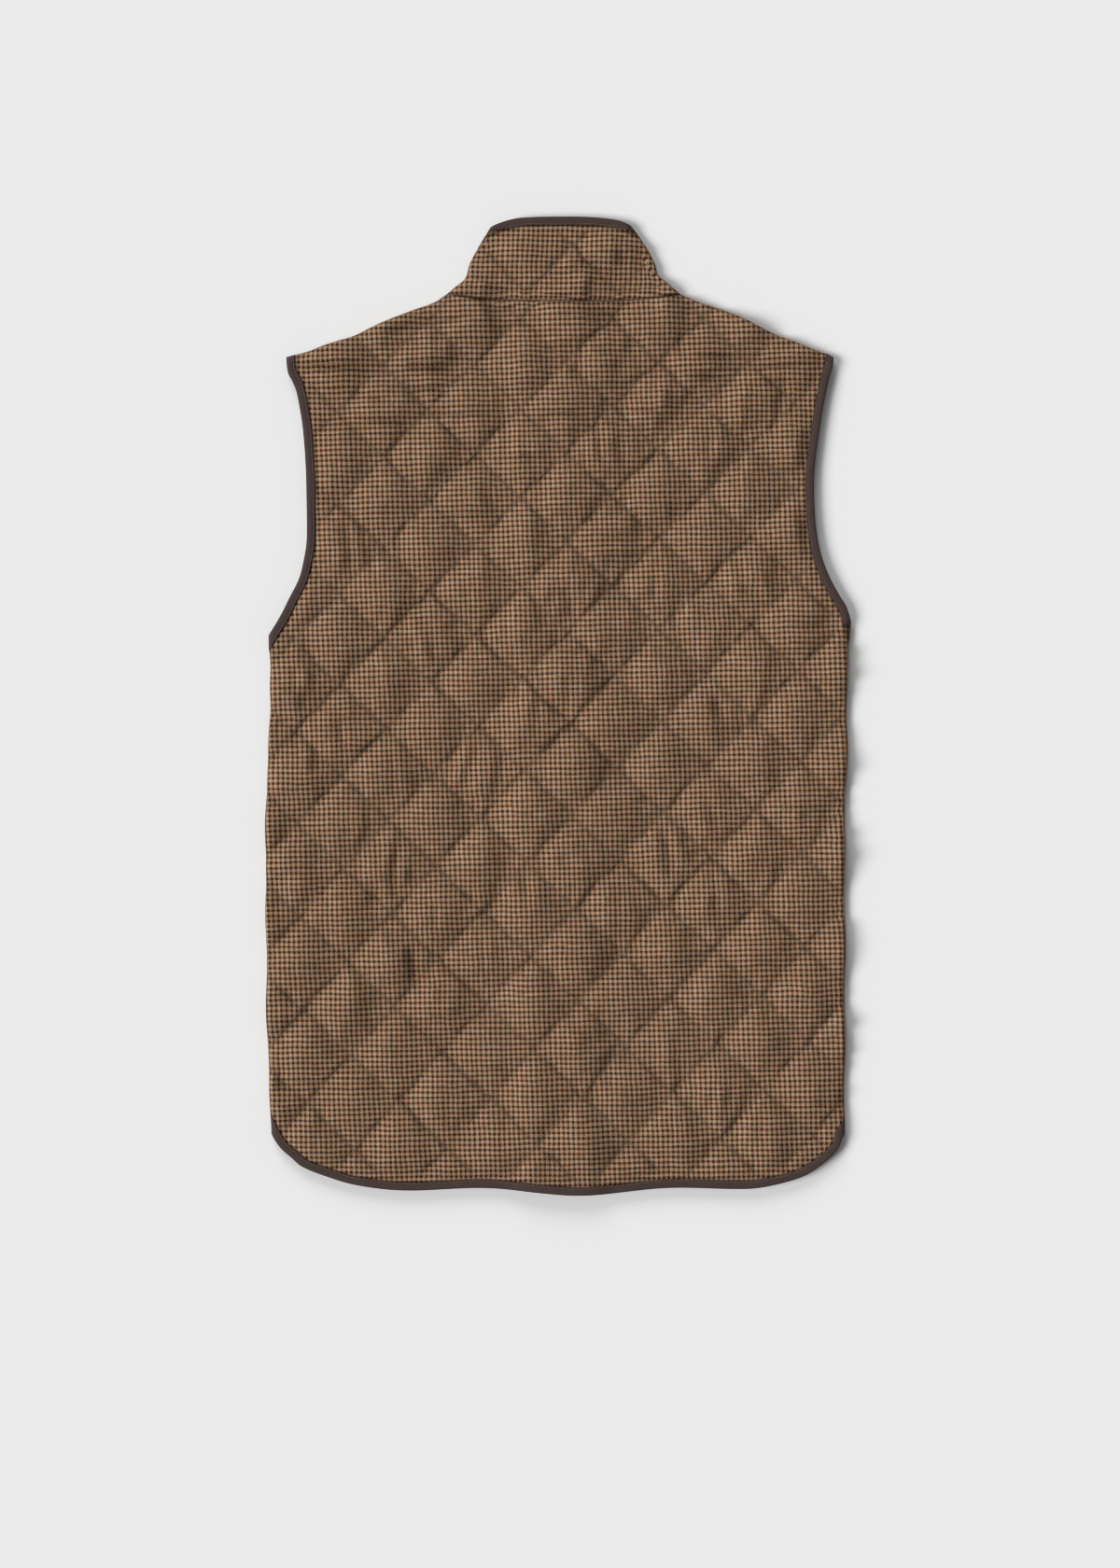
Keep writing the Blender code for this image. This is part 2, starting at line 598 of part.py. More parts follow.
# ---- Binding ----
def binding_section():
    """The strip folded over an edge: distance into the cloth, and level above the base."""
    low, high = BINDING_ROUND, CLOTH - BINDING_ROUND
    inside_low, inside_high = BINDING_WALL, CLOTH - BINDING_WALL
    return (
        (BINDING_WIDTH, CLOTH), (0.0, high), (0.0, low), (BINDING_WIDTH, 0.0),
        (BINDING_WIDTH, inside_low), (BINDING_WALL, inside_low),
        (BINDING_WALL, inside_high), (BINDING_WIDTH, inside_high),
    )


def end_slant(edge, neighbour, at_start):
    """How far a binding's end leans along its edge, so that it follows the fold there."""
    _, normal = edge.at(0.0 if at_start else edge.length)
    along = np.array([normal[1], -normal[0]])
    _, side = neighbour.at(neighbour.length if at_start else 0.0)
    fold = np.array([-side[1], side[0]]) if at_start else np.array([side[1], -side[0]])
    into = fold @ normal
    limit = abs(into) * LARGEST_SHEAR
    return float(np.clip(fold @ along, -limit, limit) / into)


def build_binding(name, panel, index):
    """A folded strip along one bound edge of a panel."""
    edge = panel.edges[index]
    before = panel.edges[index - 1]
    after = panel.edges[(index + 1) % len(panel.edges)]
    section = binding_section()
    last = len(edge.stations) - 1
    plan, levels = [], []
    for i, share in enumerate(edge.stations):
        place, normal = edge.at(share * edge.length)
        along = np.array([normal[1], -normal[0]])
        slant = 0.0
        if i == 0:
            slant = end_slant(edge, before, True)
            if before.kind == BUTT:
                place = place + along * SEAM_GAP / 2
        if i == last:
            slant = end_slant(edge, after, False)
            if after.kind == BUTT:
                place = place - along * SEAM_GAP / 2
        for depth, level in section:
            plan.append(place + (normal + along * slant) * depth)
            levels.append(level)
    plan = np.array(plan)
    points = np.column_stack([plan, panel.base(plan) + np.array(levels)])
    size = len(section)
    faces = []
    for i in range(last):
        for j in range(size):
            k = (j + 1) % size
            faces.append((i * size + j, i * size + k, (i + 1) * size + k, (i + 1) * size + j))
    for cap in SECTION_QUADS:
        faces.append(cap[::-1])
        faces.append(tuple(last * size + j for j in cap))
    return new_object(name, points, faces, BINDING)


# ---- Press studs ----
def turned(name, profile, across, along, look):
    """A closed turned piece about an upright axis. The profile is a list of radius, height."""
    points, faces = [], []
    for radius, height in profile:
        for i in range(STUD_SIDES):
            turn = 2 * math.pi * i / STUD_SIDES
            points.append((across + radius * math.cos(turn), along + radius * math.sin(turn), height))
    for i in range(len(profile) - 1):
        low, high = i * STUD_SIDES, (i + 1) * STUD_SIDES
        for j in range(STUD_SIDES):
            k = (j + 1) % STUD_SIDES
            faces.append((low + j, low + k, high + k, high + j))
    faces.append(tuple(range(STUD_SIDES))[::-1])
    last = (len(profile) - 1) * STUD_SIDES
    faces.append(tuple(last + j for j in range(STUD_SIDES)))
    return new_object(name, points, faces, look)


def stud_profile(clearance):
    """Cap, post and back plate of a stud, or the hollow that it sits in."""
    top = LIFT + CLOTH
    cap = STUD_CAP_RADIUS + clearance
    post = STUD_POST_RADIUS + clearance
    low = STUD_RECESS if clearance == 0.0 else -STUD_CAP_DEPTH
    high = top - STUD_RECESS if clearance == 0.0 else top + STUD_CAP_DEPTH
    cap_top = STUD_RECESS + STUD_CAP_DEPTH + clearance
    plate_bottom = top - STUD_RECESS - STUD_CAP_DEPTH - clearance
    return (
        (cap, low), (cap, cap_top), (post, cap_top),
        (post, plate_bottom), (cap, plate_bottom), (cap, high),
    )


def fit_stud(number, along, panels):
    """A press stud through both fronts, and the holes that it sits in."""
    turned(f"press_stud_{number}", stud_profile(0.0), CLOSURE_X, along, METAL)
    cutter = turned(f"stud_hole_{number}", stud_profile(SEAM_GAP), CLOSURE_X, along, METAL)
    cutter.hide_render = True
    cutter.display_type = "WIRE"
    for panel in panels:
        cut = panel.modifiers.new(cutter.name, "BOOLEAN")
        cut.operation = "DIFFERENCE"
        cut.solver = "EXACT"
        cut.object = cutter


# ---- Scene ----
def new_material(name, look):
    """A plain finish with the piece's own colour."""
    material = bpy.data.materials.new(name)
    material.use_nodes = True
    shader = material.node_tree.nodes["Principled BSDF"]
    shader.inputs["Base Color"].default_value = (*look["color"], 1.0)
    shader.inputs["Roughness"].default_value = look["roughness"]
    shader.inputs["Metallic"].default_value = look["metallic"]
    return material


def split_quads(points, faces):
    """The same faces, with every four-sided one split along its shorter diagonal."""
    split = []
    for face in faces:
        if len(face) != 4:
            split.append(face)
            continue
        a, b, c, d = face
        if np.linalg.norm(points[a] - points[c]) < np.linalg.norm(points[b] - points[d]):
            split += [(a, b, c), (a, c, d)]
        else:
            split += [(a, b, d), (b, c, d)]
    return split


def new_object(name, points, faces, look):
    """An object with its own mesh and its own finish."""
    mesh = bpy.data.meshes.new(name)
    mesh.from_pydata([tuple(point) for point in points], [], split_quads(np.array(points), faces))
    mesh.shade_smooth()
    mesh.set_sharp_from_angle(angle=math.radians(SMOOTH_ANGLE))
    mesh.materials.append(new_material(f"{name}_finish", look))
    piece = bpy.data.objects.new(name, mesh)
    bpy.context.scene.collection.objects.link(piece)
    return piece


def main():
    """Build every piece of the vest."""
    for old in list(bpy.data.objects):
        bpy.data.objects.remove(old)

    left_side = scalloped(smooth_curve(LEFT_SIDE))
    right_side = scalloped(smooth_curve(RIGHT_SIDE))
    left_shoulder = scalloped(smooth_curve(LEFT_SHOULDER))
    right_shoulder = scalloped(smooth_curve(RIGHT_SHOULDER))
    collar_left = smooth_curve(COLLAR_LEFT_FOLD)
    collar_right = smooth_curve(COLLAR_RIGHT_FOLD)
    neck = smooth_curve(NECK_SEAM)
    left_neck = smooth_curve(FRONT_LEFT_NECK)
    right_neck = smooth_curve(FRONT_RIGHT_NECK)

    back = Panel("back", [
        (BOUND, smooth_curve(BACK_HEM), HEM_SPACING),
        (FOLD, right_side, SIDE_SPACING),
        (BOUND, smooth_curve(RIGHT_ARMHOLE), ARMHOLE_SPACING),
        (FOLD, right_shoulder, SIDE_SPACING),
        (BUTT, neck, NECK_SPACING),
        (FOLD, left_shoulder, SIDE_SPACING),
        (BOUND, smooth_curve(LEFT_ARMHOLE), ARMHOLE_SPACING),
        (FOLD, left_side, SIDE_SPACING),
    ], upper=True, lattice=back_lattice)
    collar_back = Panel("collar_back", [
        (BUTT, neck[::-1], NECK_SPACING),
        (FOLD, collar_right, COLLAR_SPACING),
        (BOUND, smooth_curve(COLLAR_TOP), COLLAR_SPACING),
        (FOLD, collar_left, COLLAR_SPACING),
    ], upper=True, lattice=collar_lattice)
    front_left = Panel("front_left", [
        (BOUND, smooth_curve(FRONT_LEFT_EDGE), FRONT_EDGE_SPACING),
        (BUTT, left_neck, FRONT_NECK_SPACING),
        (FOLD, left_shoulder, SIDE_SPACING),
        (BOUND, smooth_curve(FRONT_LEFT_ARMHOLE), ARMHOLE_SPACING),
        (FOLD, left_side, SIDE_SPACING),
    ], upper=False)
    front_right = Panel("front_right", [
        (FOLD, right_side, SIDE_SPACING),
        (BOUND, smooth_curve(FRONT_RIGHT_ARMHOLE), ARMHOLE_SPACING),
        (FOLD, right_shoulder, SIDE_SPACING),
        (BUTT, right_neck, FRONT_NECK_SPACING),
        (BOUND, smooth_curve(FRONT_RIGHT_EDGE), FRONT_EDGE_SPACING),
    ], upper=False, lifted=True)
    collar_front_left = Panel("collar_front_left", [
        (BUTT, left_neck[::-1], FRONT_NECK_SPACING),
        (BOUND, smooth_curve(COLLAR_LEFT_END), COLLAR_END_SPACING),
        (FOLD, collar_left, COLLAR_SPACING),
    ], upper=False)
    collar_front_right = Panel("collar_front_right", [
        (BUTT, right_neck[::-1], FRONT_NECK_SPACING),
        (FOLD, collar_right, COLLAR_SPACING),
        (BOUND, smooth_curve(COLLAR_RIGHT_END), LIFTED_END_SPACING),
    ], upper=False, lifted=True)

    panels = (back, front_left, front_right, collar_back, collar_front_left, collar_front_right)
    made = {panel.name: panel.build() for panel in panels}

    build_binding("hem_binding_back", back, 0)
    build_binding("armhole_binding_right", back, 2)
    build_binding("armhole_binding_left", back, 6)
    build_binding("collar_binding_back", collar_back, 2)
    build_binding("front_binding_left", front_left, 0)
    build_binding("armhole_binding_left_front", front_left, 3)
    build_binding("front_binding_right", front_right, 4)
    build_binding("armhole_binding_right_front", front_right, 1)
    build_binding("collar_binding_front_left", collar_front_left, 1)
    build_binding("collar_binding_front_right", collar_front_right, 2)

    for number, along in enumerate(STUD_PLACES, start=1):
        layer = "collar_front" if along > FRONT_LEFT_NECK[0][1] else "front"
        fit_stud(number, along, [made[f"{layer}_left"], made[f"{layer}_right"]])


main()
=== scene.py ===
"""The looks of a quilted tweed vest that lies flat with its back uppermost.

Everything is in metres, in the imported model's own frame: +Y runs from the hem to the collar,
+Z up out of the back, and the vest rests on z = 0. Each panel is a closed shell of padded
cloth on the form of its solid, with the quilting, puckers and creases in its surface.
"""

import logging
import math
from dataclasses import dataclass, field
from enum import Enum

import bpy
import numpy as np
from mathutils import Matrix, Vector
from mathutils.geometry import delaunay_2d_cdt


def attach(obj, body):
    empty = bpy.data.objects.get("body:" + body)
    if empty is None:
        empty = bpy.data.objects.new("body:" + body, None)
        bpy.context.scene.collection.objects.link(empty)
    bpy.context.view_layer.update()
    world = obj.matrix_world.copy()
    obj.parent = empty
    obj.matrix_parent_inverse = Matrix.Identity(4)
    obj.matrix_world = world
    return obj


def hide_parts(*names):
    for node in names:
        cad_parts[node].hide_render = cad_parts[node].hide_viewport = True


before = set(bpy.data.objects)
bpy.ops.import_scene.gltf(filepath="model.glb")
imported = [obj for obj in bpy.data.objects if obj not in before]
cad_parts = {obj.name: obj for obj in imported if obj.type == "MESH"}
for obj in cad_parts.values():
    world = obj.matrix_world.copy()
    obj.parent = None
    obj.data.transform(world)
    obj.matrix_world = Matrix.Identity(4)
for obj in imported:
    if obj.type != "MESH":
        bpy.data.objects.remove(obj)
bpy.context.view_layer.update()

LOG = logging.getLogger("quilted_vest")

Array = np.ndarray
Piece = bpy.types.Object
Material = bpy.types.Material
Socket = bpy.types.NodeSocket
Pair = tuple[float, float]
Triple = tuple[float, float, float]
Table = tuple[tuple[float, ...], ...]
Faces = list[tuple[int, ...]]
Stops = tuple[tuple[float, Triple], ...]

# ---- Outlines. Each table runs anticlockwise seen from above. Columns: across, along. ----
BACK_HEM: Table = (
    (-0.2452, -0.3660), (-0.2425, -0.3710), (-0.2370, -0.3787), (-0.2278, -0.3868),
    (-0.2190, -0.3942), (-0.1985, -0.4025), (-0.1725, -0.4100), (-0.1320, -0.4146), (-0.0620, -0.4125),
    (0.0070, -0.4184), (0.0355, -0.4180), (0.0940, -0.4124), (0.1630, -0.4132),
    (0.1870, -0.4095), (0.2100, -0.4025), (0.2230, -0.3945), (0.2335, -0.3860),
    (0.2402, -0.3785), (0.2430, -0.3712), (0.2457, -0.3660),
)
RIGHT_SIDE: Table = (
    (0.2457, -0.3660), (0.2464, -0.3000), (0.2464, -0.2400), (0.2464, -0.1800), (0.2462, -0.1200),
    (0.2472, -0.0700), (0.2486, -0.0300), (0.2484, 0.0100), (0.2490, 0.0450), (0.2509, 0.0720),
)
RIGHT_ARMHOLE: Table = (
    (0.2509, 0.0720), (0.2468, 0.0852), (0.2418, 0.0932), (0.2330, 0.1092), (0.2266, 0.1252),
    (0.2226, 0.1412), (0.2198, 0.1650), (0.2192, 0.1970), (0.2218, 0.2212), (0.2266, 0.2532),
    (0.2314, 0.2772), (0.2350, 0.2905), (0.2362, 0.2985),
)
RIGHT_SHOULDER: Table = (
    (0.2362, 0.2985), (0.2290, 0.3022), (0.2114, 0.3092), (0.1914, 0.3172), (0.1730, 0.3252),
    (0.1562, 0.3332), (0.1378, 0.3412), (0.1210, 0.3466), (0.1050, 0.3522),
)
NECK_SEAM: Table = (
    (0.1050, 0.3522), (0.0735, 0.3486), (0.0352, 0.3465), (-0.0180, 0.3467), (-0.0646, 0.3487),
    (-0.0948, 0.3527),
)
LEFT_SHOULDER: Table = (
    (-0.0948, 0.3527), (-0.1050, 0.3466), (-0.1214, 0.3412), (-0.1398, 0.3332), (-0.1582, 0.3252),
    (-0.1774, 0.3172), (-0.2022, 0.3092), (-0.2230, 0.3015), (-0.2325, 0.2985),
)
LEFT_ARMHOLE: Table = (
    (-0.2325, 0.2985), (-0.2310, 0.2852), (-0.2270, 0.2772), (-0.2238, 0.2692), (-0.2206, 0.2532),
    (-0.2182, 0.2372), (-0.2158, 0.2052), (-0.2150, 0.1732), (-0.2150, 0.1412), (-0.2174, 0.1252),
    (-0.2214, 0.1092), (-0.2294, 0.0932), (-0.2374, 0.0772), (-0.2477, 0.0601),
)
LEFT_SIDE: Table = (
    (-0.2477, 0.0601), (-0.2474, 0.0300), (-0.2476, -0.0100), (-0.2496, -0.0500), (-0.2511, -0.1000),
    (-0.2511, -0.1500), (-0.2506, -0.2000), (-0.2502, -0.2600), (-0.2486, -0.3100), (-0.2452, -0.3660),
)
COLLAR_RIGHT_FOLD: Table = (
    (0.1050, 0.3522), (0.0978, 0.3588), (0.0906, 0.3648), (0.0858, 0.3690), (0.0834, 0.3780),
    (0.0802, 0.3844), (0.0770, 0.3908), (0.0682, 0.4036), (0.0625, 0.4112),
)
COLLAR_TOP: Table = (
    (0.0625, 0.4112), (0.0520, 0.4153), (0.0300, 0.4181), (0.0000, 0.4186), (-0.0300, 0.4178),
    (-0.0410, 0.4160), (-0.0500, 0.4132), (-0.0575, 0.4100),
)
COLLAR_LEFT_FOLD: Table = (
    (-0.0575, 0.4100), (-0.0614, 0.4036), (-0.0654, 0.3972), (-0.0726, 0.3844), (-0.0758, 0.3780),
    (-0.0782, 0.3684), (-0.0798, 0.3652), (-0.0878, 0.3588), (-0.0948, 0.3527),
)
FRONT_LEFT_EDGE: Table = (
    (-0.2452, -0.3660), (-0.2350, -0.3735), (-0.2150, -0.3855), (-0.1800, -0.3960),
    (-0.1200, -0.4015), (-0.0500, -0.4020), (0.0020, -0.4020), (0.0125, -0.3985),
    (0.0170, -0.3880), (0.0170, -0.3700), (0.0170, -0.1600), (0.0170, 0.0500), (0.0170, 0.2666),
)
FRONT_LEFT_NECK: Table = (
    (0.0170, 0.2666), (0.0020, 0.2664), (-0.0200, 0.2690), (-0.0450, 0.2800), (-0.0700, 0.3060),
    (-0.0860, 0.3330), (-0.0948, 0.3527),
)
FRONT_LEFT_ARMHOLE: Table = (
    (-0.2325, 0.2985), (-0.2275, 0.2900), (-0.2160, 0.2700), (-0.2050, 0.2372), (-0.2000, 0.1900),
    (-0.2010, 0.1412), (-0.2090, 0.1092), (-0.2270, 0.0800), (-0.2477, 0.0601),
)
FRONT_RIGHT_ARMHOLE: Table = (
    (0.2509, 0.0720), (0.2300, 0.0890), (0.2130, 0.1150), (0.2050, 0.1450), (0.2045, 0.1900),
    (0.2090, 0.2372), (0.2195, 0.2700), (0.2315, 0.2900), (0.2362, 0.2985),
)
FRONT_RIGHT_NECK: Table = (
    (0.1050, 0.3522), (0.0940, 0.3330), (0.0760, 0.3060), (0.0500, 0.2800), (0.0240, 0.2690),
    (0.0020, 0.2664), (-0.0130, 0.2666),
)
FRONT_RIGHT_EDGE: Table = (
    (-0.0130, 0.2666), (-0.0130, 0.0500), (-0.0130, -0.1600), (-0.0130, -0.3700),
    (-0.0130, -0.3880), (-0.0085, -0.3985), (0.0020, -0.4020), (0.0500, -0.4020),
    (0.1200, -0.4015), (0.1800, -0.3960), (0.2150, -0.3855), (0.2350, -0.3735), (0.2457, -0.3660),
)
COLLAR_LEFT_END: Table = (
    (0.0170, 0.2666), (0.0170, 0.3000), (0.0160, 0.3260), (0.0070, 0.3365), (-0.0100, 0.3440),
    (-0.0300, 0.3600), (-0.0440, 0.3800), (-0.0510, 0.3950), (-0.0575, 0.4100),
)
COLLAR_RIGHT_END: Table = (
    (0.0625, 0.4112), (0.0560, 0.3950), (0.0490, 0.3800), (0.0340, 0.3600), (0.0140, 0.3440),
    (-0.0030, 0.3365), (-0.0120, 0.3260), (-0.0130, 0.3000), (-0.0130, 0.2666),
)

# Creases. Columns: from across, along, to across, along, depth, half width.
BACK_CREASES: Table = (
    (0.1660, 0.2970, 0.0830, 0.2290, 0.0034, 0.0090),
    (-0.2222, 0.2890, -0.1390, 0.2846, 0.0036, 0.0044),
    (-0.1480, 0.2862, -0.0740, 0.2916, 0.0042, 0.0044),
    (-0.1369, 0.3198, -0.1022, 0.3290, 0.0030, 0.0042),
    (-0.1102, 0.3268, -0.0702, 0.3356, 0.0040, 0.0042),
    (-0.0702, 0.3356, -0.0222, 0.3420, 0.0018, 0.0040),
    (-0.1400, 0.2722, -0.0980, 0.2712, 0.0026, 0.0036),
    (-0.1740, 0.2640, -0.1420, 0.2618, 0.0026, 0.0036),
    (-0.1700, 0.2440, -0.1160, 0.2415, 0.0020, 0.0036),
    (-0.1210, 0.2478, -0.0450, 0.2470, 0.0026, 0.0040),
    (-0.0120, 0.2488, 0.0231, 0.2476, 0.0036, 0.0042),
    (-0.0500, 0.2124, -0.0060, 0.2114, 0.0036, 0.0040),
    (-0.2009, 0.1788, -0.1742, 0.1678, 0.0018, 0.0040),
    (0.1054, 0.3009, 0.1750, 0.2964, 0.0032, 0.0046),
    (0.1060, 0.2822, 0.1530, 0.2814, 0.0042, 0.0046),
    (0.1600, 0.2886, 0.2130, 0.2898, 0.0038, 0.0044),
    (0.1750, 0.2800, 0.2050, 0.2766, 0.0020, 0.0036),
    (0.0520, 0.2560, 0.1100, 0.2440, 0.0020, 0.0042),
    (0.0900, 0.2420, 0.1500, 0.2330, 0.0018, 0.0042),
    (0.1740, 0.2020, 0.2130, 0.1994, 0.0030, 0.0042),
    (0.1740, 0.0650, 0.2400, 0.0700, 0.0022, 0.0060),
    (0.1940, -0.0910, 0.2420, -0.0910, 0.0018, 0.0055),
    (-0.1820, 0.1650, -0.1770, 0.1200, 0.0024, 0.0048),
    (0.0089, 0.1010, 0.0124, 0.0640, 0.0026, 0.0046),
    (0.0835, 0.1252, 0.0800, 0.0897, 0.0022, 0.0046),
    (-0.1880, 0.0020, -0.1850, -0.0450, 0.0024, 0.0050),
    (0.1333, 0.0115, 0.1440, -0.0170, 0.0020, 0.0046),
    (-0.1450, -0.0270, -0.1405, -0.0800, 0.0022, 0.0050),
    (0.1262, -0.0738, 0.1368, -0.1094, 0.0020, 0.0046),
    (0.0906, -0.1023, 0.0942, -0.1449, 0.0022, 0.0046),
    (-0.1369, -0.1165, -0.1404, -0.1592, 0.0030, 0.0048),
    (-0.0302, -0.1378, -0.0267, -0.1734, 0.0028, 0.0046),
    (0.1330, -0.1480, 0.1368, -0.1805, 0.0022, 0.0050),
    (-0.1085, -0.1592, -0.1049, -0.1947, 0.0022, 0.0046),
    (-0.0658, -0.1947, -0.0622, -0.2374, 0.0020, 0.0046),
    (-0.1262, -0.2018, -0.1227, -0.2374, 0.0022, 0.0046),
)
COLLAR_CREASES: Table = (
    (-0.0620, 0.3700, -0.0300, 0.3620, 0.0010, 0.0080),
    (0.0300, 0.3900, 0.0520, 0.4010, 0.0010, 0.0080),
)
FRONT_CREASES: Table = (
    (-0.1700, 0.2700, -0.1250, 0.2250, 0.0012, 0.0070),
    (-0.2200, 0.0450, -0.1650, 0.0350, 0.0012, 0.0060),
    (0.1500, 0.2750, 0.1150, 0.2300, 0.0012, 0.0070),
    (0.2200, 0.0500, 0.1700, 0.0350, 0.0012, 0.0060),
    (-0.1100, -0.1000, -0.1050, -0.1400, 0.0010, 0.0055),
    (0.1200, -0.2300, 0.1180, -0.2650, 0.0010, 0.0055),
)

# Where the collar's folded-over edge ends on the right. Columns: across, along.
COLLAR_OVERLAP: Table = (
    (0.1018, 0.3508), (0.0887, 0.3640), (0.0786, 0.3732), (0.0726, 0.3948), (0.0690, 0.4030),
)

# A curve's straight pieces between two rows of its table, points measured in one go, a distance
# beyond all others, a length that stands for none, and the distance at which points are one.
CURVE_PIECES = 10
BLOCK = 3000
FAR = 1.0
NO_LENGTH = 1e-9
SAME_PLACE = 1e-7


class EdgeKind(Enum):
    """What becomes of a panel's edge."""

    BOUND = "bound"
    FOLD = "fold"
    BUTT = "butt"


class Layer(Enum):
    """Where a panel lies."""

    UPPER = "upper"
    LOWER = "lower"
    LOWER_LIFTED = "lower, lapped over the other front"


class Draw(Enum):
    """Which uneven feature of a panel a seeded table belongs to. The value is added to its seed."""

    SIZE = 0
    LEAN_FIRST = 1
    LEAN_SECOND = 2
    PUCKER_FIRST = 3
    PUCKER_SECOND = 4
    BROAD = 5
    SMALL = 6
    PLEAT_LEAN = 7
    PLEAT = 8
    PLEAT_STRENGTH = 9
    GATHER = 10
    PLEAT_SWAY = 11
    WANDER_ACROSS = 12
    WANDER_ALONG = 13


# ---- Curves and fields ----
def smooth_step(value: Array, low: float, high: float) -> Array:
    """Rise from 0 at low to 1 at high without a corner.

    Args:
        value: The numbers to read.
        low: Where the rise begins.
        high: Where the rise ends.

    Returns:
        The share of the rise at each number.
    """
    share = np.clip((value - low) / (high - low), 0.0, 1.0)
    return share * share * (3.0 - 2.0 * share)


def smooth_curve(table: Table) -> Array:
    """Draw the smooth line through a table's points.

    Args:
        table: Rows of across and along.

    Returns:
        Points close together on the line.
    """
    points = np.array(table)
    before = np.vstack([2 * points[0] - points[1], points[:-1]])
    after = np.vstack([points[1:], 2 * points[-1] - points[-2]])
    spans = np.linalg.norm(np.diff(points, axis=0), axis=1)
    slopes = after - before
    slopes /= np.linalg.norm(slopes, axis=1)[:, None]
    curve = []
    for i, span in enumerate(spans):
        for share in np.arange(CURVE_PIECES) / CURVE_PIECES:
            square, cube = share ** 2, share ** 3
            curve.append(
                (2 * cube - 3 * square + 1) * points[i] + (3 * square - 2 * cube) * points[i + 1]
                + (cube - 2 * square + share) * span * slopes[i]
                + (cube - square) * span * slopes[i + 1]
            )
    curve.append(points[-1])
    return np.array(curve)


def lengths_along(curve: Array) -> Array:
    """Measure the distance along a line at each of its points.

    Args:
        curve: The line's points.

    Returns:
        One distance for each point.
    """
    return np.concatenate([[0.0], np.cumsum(np.linalg.norm(np.diff(curve, axis=0), axis=1))])


def distance_to(points: Array, curves: list[Array]) -> Array:
    """Measure the shortest distance from each point to a set of lines.

    Args:
        points: Plan points.
        curves: The lines.

    Returns:
        One distance for each point.
    """
    nearest = np.full(len(points), FAR)
    for curve in curves:
        start, along = curve[:-1], np.diff(curve, axis=0)
        span = (along ** 2).sum(axis=1)
        for first in range(0, len(points), BLOCK):
            part = points[first:first + BLOCK]
            x = part[:, 0, None] - start[None, :, 0]
            y = part[:, 1, None] - start[None, :, 1]
            share = np.clip((x * along[:, 0] + y * along[:, 1]) / span, 0.0, 1.0)
            gap = np.hypot(x - share * along[:, 0], y - share * along[:, 1]).min(axis=1)
            nearest[first:first + BLOCK] = np.minimum(nearest[first:first + BLOCK], gap)
    return nearest


def lengthened(curve: Array, reach: float) -> Array:
    """Add a straight stretch at each end of a line.

    Args:
        curve: The line's points.
        reach: The stretch's length.

    Returns:
        The longer line.
    """
    first, last = curve[0] - curve[1], curve[-1] - curve[-2]
    return np.vstack([
        curve[0] + first / np.linalg.norm(first) * reach, curve,
        curve[-1] + last / np.linalg.norm(last) * reach,
    ])


def contains(outline: Array, points: Array) -> Array:
    """Find which points lie inside a closed line.

    Args:
        outline: The closed line's points.
        points: Plan points.

    Returns:
        True for each point inside.
    """
    inside = np.zeros(len(points), bool)
    for (x1, y1), (x2, y2) in zip(outline, np.roll(outline, -1, axis=0)):
        crosses = (y1 > points[:, 1]) != (y2 > points[:, 1])
        with np.errstate(divide="ignore", invalid="ignore"):
            at = x1 + (points[:, 1] - y1) * (x2 - x1) / (y2 - y1)
        inside ^= crosses & (points[:, 0] < at)
    return inside


def roundness(distance: Array, radius: float) -> Array:
    """Read a quarter-round's height.

    Args:
        distance: Distance from the outermost line.
        radius: The quarter-round's radius.

    Returns:
        The share of the full height.
    """
    return np.sqrt(np.clip(1.0 - (1.0 - np.clip(distance / radius, 0.0, 1.0)) ** 2, 0.0, 1.0))


@dataclass(frozen=True)
class Waves:
    """Smooth irregular waves from a seeded table, between -1 and 1."""

    seed: int
    size: int = 64

    def table(self) -> Array:
        """Draw the table that the waves pass through."""
        return np.random.default_rng(self.seed).uniform(-1.0, 1.0, (self.size, self.size))

    def at(self, across: Array, along: Array) -> Array:
        """Read the waves.

        Args:
            across: First coordinate, one wave for each whole number.
            along: Second coordinate.

        Returns:
            The height of the waves at each place.
        """
        table = self.table()
        i, j = np.floor(across).astype(int), np.floor(along).astype(int)
        s, t = across - i, along - j
        s, t = s * s * (3 - 2 * s), t * t * (3 - 2 * t)
        i0, i1, j0, j1 = i % self.size, (i + 1) % self.size, j % self.size, (j + 1) % self.size
        low = table[i0, j0] * (1 - s) + table[i1, j0] * s
        high = table[i0, j1] * (1 - s) + table[i1, j1] * s
        return low * (1 - t) + high * t

    def over(self, points: Array, across: float, along: float) -> Array:
        """Read the waves at plan points, for waves of the given lengths."""
        return self.at(points[:, 0] / across, points[:, 1] / along)

    def cell(self, across: Array, along: Array) -> Array:
        """Read the steady value of the whole-numbered cell that each place lies in."""
        i, j = np.floor(across).astype(int) % self.size, np.floor(along).astype(int) % self.size
        return self.table()[i, j]


